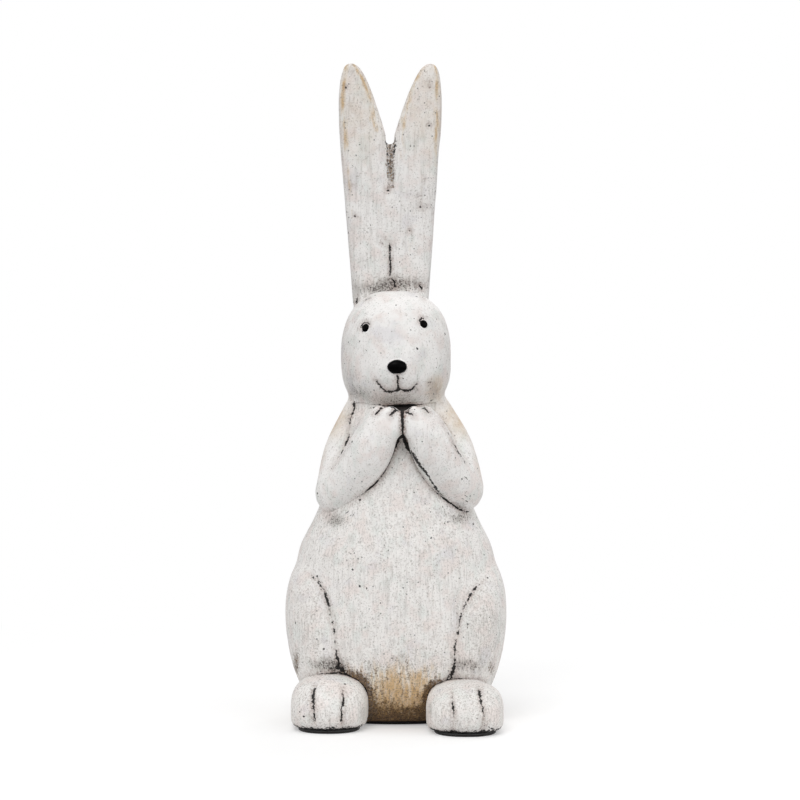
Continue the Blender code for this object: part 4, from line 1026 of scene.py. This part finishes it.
# Tints of the white, each a noise size and its stretch, the start, end and top of its ramp, and a colour.
TINTS = (
    (0.011, (1, 1, 1), 0.46, 0.66, 0.55, ROSY_WHITE),
    (0.009, (1, 1, 0.7), 0.50, 0.70, 0.6, COOL_WHITE),
    (0.015, (1, 1, 1), 0.55, 0.72, 0.4, LILAC_GREY),
)


def pits(n, size, share, grounds, least, most, ragged):
    """1 in scattered round pits, 0 elsewhere; the grounds raise their share."""
    away, number = n.cells(size)
    chosen = n.math("GREATER_THAN", n.plus(number, grounds), 1 - share)
    radius = n.times(n.ramp(number, 0.5, 1.0, least, most), chosen)
    return n.math("LESS_THAN", n.plus(away, ragged), radius)


def ink_and_painted_shadow(n):
    """1 on inked lines and seams, ragged at their edges; under the chin, between the paws, at the ankles and
    along the soles these lines are painted shadow.
    """
    ragged = n.ramp(n.noise(0.0012, 3), 0.25, 0.75, -0.28, 0.28)
    off = n.math("ABSOLUTE", n.plus(n.attribute("off"), ragged))
    cut = n.times(n.attribute("force"), n.math("SUBTRACT", 1.0, off))
    apart = n.plus(n.attribute("close"), ragged)
    seam = n.times(n.attribute("seam"), n.math("SUBTRACT", 1.0, apart))
    broken = n.ramp(n.noise(0.0028, 2), 0.3, 0.7, -0.20, 0.10)
    level = n.plus(n.math("MAXIMUM", cut, seam), broken)
    return n.ramp(level, 0.42, 0.52)


SLANT = math.radians(38)
UPRIGHT = (1, 1, 0.12)
SLANTED = (1, 1, 0.14)


def brush_streaks(n):
    """Fine marks of the brush, upright and crossed at a slant."""
    upright = n.noise(0.0011, 3, n.stretched(UPRIGHT), 0.2)
    slanted = n.noise(0.0010, 3, n.stretched(SLANTED, (0, SLANT, 0)), 0.2)
    crossed = n.noise(0.0010, 3, n.stretched(SLANTED, (0, -SLANT, 0)), 0.2)
    share = n.ramp(n.noise(0.016, 2), 0.42, 0.60)
    leaning = n.plus(n.times(slanted, share), n.times(crossed, n.math("SUBTRACT", 1.0, share)))
    return n.times(n.plus(leaning, upright), 0.5)


def whitewash(n, streaks, combed, speckle):
    """White of several tints, paler where light is painted and greyer where shade is painted, with streaks
    and specks where it is thin and worn.
    """
    wear_light_and_shade = n.attribute("wear_light_and_shade")
    colour = n.mix(wear_light_and_shade, FRESH_AND_LIT_WHITE, WORN_AND_SHADED_WHITE)
    for size, stretch, start, end, most, tint in TINTS:
        patches = n.noise(size, 4, n.stretched(stretch))
        colour = n.mix(n.ramp(patches, start, end, 0, most), colour, tint)
    brushed = n.plus(streaks, n.times(wear_light_and_shade, 0.10))
    colour = n.mix(n.ramp(brushed, 0.52, 0.76, 0, 0.42), colour, BRUSHED_GREY)
    combing = n.times(n.ramp(combed, 0.50, 0.72, 0, 0.36), n.attribute("comb"))
    colour = n.mix(combing, colour, BRUSHED_GREY)
    dotted = n.plus(speckle, n.times(wear_light_and_shade, 0.09))
    return n.mix(n.ramp(dotted, 0.52, 0.72, 0, 0.62), colour, BRUSHED_GREY)


def rubbed_ochre(n, colour, speckle):
    """Tan on the shoulders and ears, and ochre where the coat is rubbed."""
    tan = n.times(n.attribute("tan"), n.ramp(n.noise(0.006, 4), 0.25, 0.75, 0.35, 1.0))
    colour = n.mix(n.times(tan, 0.75), colour, TAN)
    scuffed = n.ramp(n.noise(0.0018, 4, n.stretched((1, 1, 0.16))), 0.2, 0.8, -0.34, 0.34)
    rubbed = n.plus(n.attribute("ochre"), scuffed)
    colour = n.mix(n.ramp(rubbed, 0.15, 1.0, 0, 0.70), colour, OCHRE_PALE)
    colour = n.mix(n.ramp(rubbed, 0.50, 1.30, 0, 0.74), colour, OCHRE)
    dulled = n.times(n.ramp(rubbed, 0.4, 0.8), n.ramp(speckle, 0.46, 0.66, 0, 0.6))
    return n.mix(dulled, colour, BRUSHED_GREY)


def grimed_and_shaded(n, colour, streaks, grain, speckle):
    """Grime and painted shade brushed into the creases, a brown halo of stain and painted shade along the
    lines, and dark specks.
    """
    grime_and_shade = n.attribute("grime_and_shade")
    # Painted shade: the grey wash darkens the creases and hollows along with the grime.
    wash = n.times(grime_and_shade, n.ramp(streaks, 0.25, 0.75, 0.45, 1.25))
    colour = n.mix(n.ramp(wash, 0.05, 1.0, 0, 0.55), colour, GRIME_AND_SHADE_GREY)
    # Partly painted shade: the rose-brown halo beside the lines and seams.
    halo = n.times(n.attribute("halo"), n.ramp(grain, 0.3, 0.7, 0.25, 0.85))
    colour = n.mix(halo, colour, HALO_ROSE)
    specked = n.plus(speckle, n.times(grime_and_shade, 0.20))
    return n.mix(n.ramp(specked, 0.68, 0.78, 0, 0.8), colour, SPECK_GREY)


def stained_and_shaded(n, colour, fine, grain, speckle):
    """The blotted brown stain, which is also painted shade next to the feet, with specks of soot and ochre
    where it is deep.
    """
    upright = n.noise(0.0020, 4, n.stretched(UPRIGHT))
    blots = n.plus(n.ramp(upright, 0.25, 0.75, -0.28, 0.28), n.ramp(speckle, 0.35, 0.65, -0.22, 0.22))
    stain_and_shade = n.plus(n.attribute("stain_and_shade"), blots)
    colour = n.mix(n.ramp(stain_and_shade, 0.2, 1.05, 0, 0.90), colour, STAIN_AND_SHADE_BROWN)
    deep = n.ramp(stain_and_shade, 0.5, 0.9)
    colour = n.mix(n.times(deep, n.ramp(grain, 0.50, 0.62, 0, 0.5)), colour, SOOT_AND_SHADOW_BLACK)
    return n.mix(n.times(deep, n.ramp(fine, 0.54, 0.68, 0, 0.5)), colour, OCHRE)


def open_pits(n, fine):
    """The share of soot in the open pits of the casting, 0 elsewhere."""
    ragged = n.ramp(fine, 0.2, 0.8, -0.06, 0.06)
    grounds = n.ramp(n.noise(0.012, 3), 0.45, 0.68, 0, 0.20)
    grounds = n.plus(grounds, n.times(n.attribute("grime_and_shade"), 0.10))
    wide_pits = pits(n, 0.0042, 0.025, n.times(grounds, 0.30), 0.10, 0.17, ragged)
    small_pits = pits(n, 0.0022, 0.015, n.times(grounds, 0.8), 0.12, 0.20, ragged)
    return n.math("MAXIMUM", n.times(wide_pits, 0.95), n.times(small_pits, 0.75))


def cast_finish():
    """Whitewash brushed over a darker cast body, with grime in the creases and ochre where it is rubbed."""
    n = Nodes("cast_finish", 0.85)
    streaks = brush_streaks(n)
    combed = n.noise(0.0015, 2, n.stretched((1, 1, 0.05)))
    fine = n.noise(0.0007, 2)
    grain = n.noise(0.0011, 3)
    speckle = n.times(n.plus(fine, grain), 0.5)
    colour = whitewash(n, streaks, combed, speckle)
    colour = rubbed_ochre(n, colour, speckle)
    colour = grimed_and_shaded(n, colour, streaks, grain, speckle)
    colour = stained_and_shaded(n, colour, fine, grain, speckle)
    # Black in the pits and on the inked lines, some of which are painted shadow.
    dark = n.math("MAXIMUM", open_pits(n, fine), n.times(ink_and_painted_shadow(n), 0.95))
    n.coloured(n.mix(dark, colour, SOOT_AND_SHADOW_BLACK))
    n.roughened(n.ramp(fine, 0.2, 0.8, 0.78, 0.95))
    n.shader.inputs["Specular IOR Level"].default_value = 0.3
    height = n.plus(n.times(streaks, 0.6), n.times(speckle, 0.6))
    height = n.plus(height, n.times(combed, 0.5))
    n.bump(n.math("SUBTRACT", height, n.times(dark, 0.6)), 0.0004, 0.6)
    return n.material


def bead_gloss():
    """Black enamel with a soft gloss and a slight unevenness."""
    n = Nodes("bead_gloss", 0.3)
    n.shader.inputs["Specular IOR Level"].default_value = 0.035
    n.coloured(n.mix(n.noise(0.001, 2), linear((3, 3, 4)), linear((9, 8, 8))))
    n.roughened(n.ramp(n.noise(0.0012, 2), 0.3, 0.7, 0.22, 0.36))
    n.bump(n.noise(0.0014, 2), 0.0001, 0.3)
    return n.material


def drawn_steel():
    """Plain drawn bar, with fine lines along it and a little rust bloom."""
    n = Nodes("drawn_steel", 0.38)
    n.shader.inputs["Metallic"].default_value = 1.0
    along = n.noise(0.0006, 3, n.stretched((1, 1, 0.05)))
    bloom = n.ramp(n.noise(0.004, 3), 0.55, 0.75, 0, 0.5)
    n.coloured(n.mix(bloom, linear((168, 168, 170)), linear((128, 104, 86))))
    n.roughened(n.ramp(along, 0.2, 0.8, 0.28, 0.52))
    n.bump(along, 0.00008, 0.4)
    return n.material


def moulded_rubber():
    """Matt black rubber with a fine moulded grain and a dusty bloom."""
    n = Nodes("moulded_rubber", 0.8)
    dust = n.ramp(n.noise(0.005, 3), 0.45, 0.75, 0, 0.5)
    n.coloured(n.mix(dust, linear((34, 33, 33)), linear((62, 60, 58))))
    n.roughened(n.ramp(n.noise(0.0015, 2), 0.3, 0.7, 0.7, 0.9))
    n.bump(n.noise(0.0005, 2), 0.0001, 0.5)
    return n.material


def pressed_felt():
    """Black felt, of tangled short fibres."""
    n = Nodes("pressed_felt", 0.95)
    n.shader.inputs["Sheen Weight"].default_value = 0.25
    n.shader.inputs["Sheen Roughness"].default_value = 0.5
    fibres = n.noise(0.0005, 4, None, 2.5)
    n.coloured(n.mix(fibres, linear((10, 10, 11)), linear((34, 32, 32))))
    n.bump(fibres, 0.0003, 0.7)
    return n.material


BEAD_SIDES = 48
BEAD_STEPS = 12
BEAD_EDGE = math.radians(50)
BEAD_DOMES = (("right_eye", 0.0011), ("left_eye", 0.0011), ("nose", 0.0020))


def bead_frame(name):
    """The seat of a CAD bead: the centre of its back, its axis, and its half sizes across and up."""
    points, triangles = node_mesh(name)
    a, b, c = (points[triangles[:, i]].astype(np.float64) for i in range(3))
    areas = np.cross(b - a, c - a)
    sizes = np.linalg.norm(areas, axis=1)
    directions = areas / np.maximum(sizes[:, None], 1e-12)
    together = (directions @ directions.T > 0.999) @ sizes
    axis = -directions[np.argmax(together)]
    across = np.cross(axis, (0, 0, 1))
    across /= np.linalg.norm(across)
    upward = np.cross(across, axis)
    spans = [points @ direction for direction in (across, upward, axis)]
    middle = [(span.min() + span.max()) / 2 for span in spans[:2]] + [spans[2].min()]
    centre = middle[0] * across + middle[1] * upward + middle[2] * axis
    halves = [(span.max() - span.min()) / 2 for span in spans[:2]]
    return centre, (across, upward, axis), halves, spans[2].max() - spans[2].min()


def bead_object(name, dome):
    """A stemmed bead with a smooth dome, standing in the CAD bead's socket."""
    centre, (across, upward, axis), halves, length = bead_frame(name)
    profile = [(1.0, 0.0), (1.0, length - dome)]
    for step in range(1, BEAD_STEPS):
        turn = math.pi / 2 * step / BEAD_STEPS
        profile.append((math.cos(turn), length - dome + dome * math.sin(turn)))
    points = []
    for share, height in profile:
        for index in range(BEAD_SIDES):
            angle = 2 * math.pi * index / BEAD_SIDES
            side = share * (halves[0] * math.cos(angle) * across + halves[1] * math.sin(angle) * upward)
            points.append(centre + side + height * axis)
    faces = [
        (r * BEAD_SIDES + i, r * BEAD_SIDES + (i + 1) % BEAD_SIDES,
         (r + 1) * BEAD_SIDES + (i + 1) % BEAD_SIDES, (r + 1) * BEAD_SIDES + i)
        for r in range(len(profile) - 1) for i in range(BEAD_SIDES)
    ]
    points += [centre, centre + length * axis]
    back, front = len(points) - 2, len(points) - 1
    last = (len(profile) - 1) * BEAD_SIDES
    faces += [(back, (i + 1) % BEAD_SIDES, i) for i in range(BEAD_SIDES)]
    faces += [(front, last + i, last + (i + 1) % BEAD_SIDES) for i in range(BEAD_SIDES)]
    mesh = bpy.data.meshes.new("bead_" + name)
    mesh.from_pydata(points, [], faces)
    mesh.shade_smooth()
    mesh.set_sharp_from_angle(angle=BEAD_EDGE)
    return placed("bead_" + name, mesh)


def settle(piece, node, material):
    """Gives a piece its material and its body, and hides the CAD node that it stands for."""
    piece.data.materials.append(material)
    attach(piece, "root")
    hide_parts(node)


def coat(node, material):
    """Gives a CAD node that stays in view a new material."""
    made = frame["nodes"][node]
    made.data.materials.clear()
    made.data.materials.append(material)


FLOOR_GLOW = 0.24
FLOOR_NEAR = 0.25
FLOOR_FAR = 0.60
FLOOR_RADIUS = 30.0
FLOOR_SIDES = 64


def floor_material():
    """White ground that keeps the ornament's shadow and reads as plain white to the camera elsewhere."""
    n = Nodes("floor_white", 0.9)
    n.shader.inputs["Base Color"].default_value = (0.8, 0.8, 0.8, 1)
    n.shader.inputs["Specular IOR Level"].default_value = 0.0
    glow = n.node("ShaderNodeEmission")
    glow.inputs["Color"].default_value = (1, 1, 1, 1)
    path = n.node("ShaderNodeLightPath")
    added = n.node("ShaderNodeAddShader")
    n.link(n.times(path.outputs["Is Camera Ray"], FLOOR_GLOW), glow.inputs["Strength"])
    n.link(n.shader.outputs["BSDF"], added.inputs[0])
    n.link(glow.outputs["Emission"], added.inputs[1])
    white = n.node("ShaderNodeEmission")
    n.link(path.outputs["Is Camera Ray"], white.inputs["Strength"])
    distance = n.node("ShaderNodeVectorMath")
    distance.operation = "LENGTH"
    n.link(n.place, distance.inputs[0])
    blend = n.node("ShaderNodeMixShader")
    n.link(n.ramp(distance.outputs["Value"], FLOOR_NEAR, FLOOR_FAR), blend.inputs["Fac"])
    n.link(added.outputs["Shader"], blend.inputs[1])
    n.link(white.outputs["Emission"], blend.inputs[2])
    n.link(blend.outputs["Shader"], n.tree.nodes["Material Output"].inputs["Surface"])
    return n.material


def floor():
    turns = [2 * math.pi * index / FLOOR_SIDES for index in range(FLOOR_SIDES)]
    points = [(FLOOR_RADIUS * math.cos(turn), FLOOR_RADIUS * math.sin(turn), 0) for turn in turns]
    mesh = bpy.data.meshes.new("floor")
    mesh.from_pydata(points, [], [tuple(range(FLOOR_SIDES))])
    mesh.materials.append(floor_material())
    made = placed("floor", mesh)


WORLD_STRENGTH = 0.575
LAMPS = (
    ("key", (-0.35, -1.25, 1.55), 0.9, 12.0),
    ("fill", (0.9, -1.1, 0.6), 1.0, 3.0),
    ("right_side", (-1.5, -0.3, 0.6), 0.9, 3.5),
    ("left_side", (1.5, -0.3, 0.6), 0.9, 3.0),
    ("back_fill", (0.5, 1.4, 1.0), 1.0, 7.0),
)
LAMP_AIM = Vector((0, 0, 0.22))


def world():
    """An even white surround that lights softly and shows white to the camera."""
    made = bpy.data.worlds.new("surround")
    bpy.context.scene.world = made
    made.use_nodes = True
    tree = made.node_tree
    back = tree.nodes["Background"]
    back.inputs["Color"].default_value = (1, 1, 1, 1)
    path = tree.nodes.new("ShaderNodeLightPath")
    seen = tree.nodes.new("ShaderNodeMath")
    seen.operation = "MAXIMUM"
    tree.links.new(path.outputs["Is Camera Ray"], seen.inputs[0])
    tree.links.new(path.outputs["Is Transmission Ray"], seen.inputs[1])
    strength = tree.nodes.new("ShaderNodeMapRange")
    strength.inputs["To Min"].default_value = WORLD_STRENGTH
    strength.inputs["To Max"].default_value = 1.0
    tree.links.new(seen.outputs[0], strength.inputs["Value"])
    tree.links.new(strength.outputs["Result"], back.inputs["Strength"])


def lamps():
    for name, place, size, power in LAMPS:
        light = bpy.data.lights.new(name, "AREA")
        light.size = size
        light.energy = power
        made = placed(name, light)
        made.location = place
        made.rotation_euler = (LAMP_AIM - Vector(place)).to_track_quat("-Z", "Y").to_euler()


def camera():
    """A level camera at the photograph's distance and height."""
    view = bpy.data.cameras.new("camera")
    view.sensor_width = SENSOR_WIDTH
    view.sensor_fit = "HORIZONTAL"
    view.lens = FOCAL_PIXELS / FRAME_PIXELS * SENSOR_WIDTH
    made = placed("camera", view)
    pixel = CAMERA_DISTANCE / FOCAL_PIXELS
    across = (FRAME_PIXELS / 2 - AXIS_COLUMN) * pixel
    upward = (LEVEL_ROW - FRAME_PIXELS / 2) * pixel
    made.location = (across, -CAMERA_DISTANCE, CAMERA_HEIGHT + upward)
    made.rotation_euler = (math.pi / 2, 0, 0)
    bpy.context.scene.camera = made


def build():
    finish = cast_finish()
    for name in CASTINGS:
        casting = Casting(name)
        paint = finish_casting(casting)
        settle(casting_object(casting, paint), name, finish)
    gloss = bead_gloss()
    for name, dome in BEAD_DOMES:
        settle(bead_object(name, dome), name, gloss)
    steel = drawn_steel()
    for name in ("neck_dowel", "right_ear_rod", "left_ear_rod"):
        coat(name, steel)
    coat("base_plug", moulded_rubber())
    felt = pressed_felt()
    for name in ("base_pad", "right_foot_pad", "left_foot_pad"):
        coat(name, felt)


build()
floor()
world()
lamps()
camera()
bpy.context.scene.view_settings.view_transform = "Standard"
bpy.context.view_layer.update()
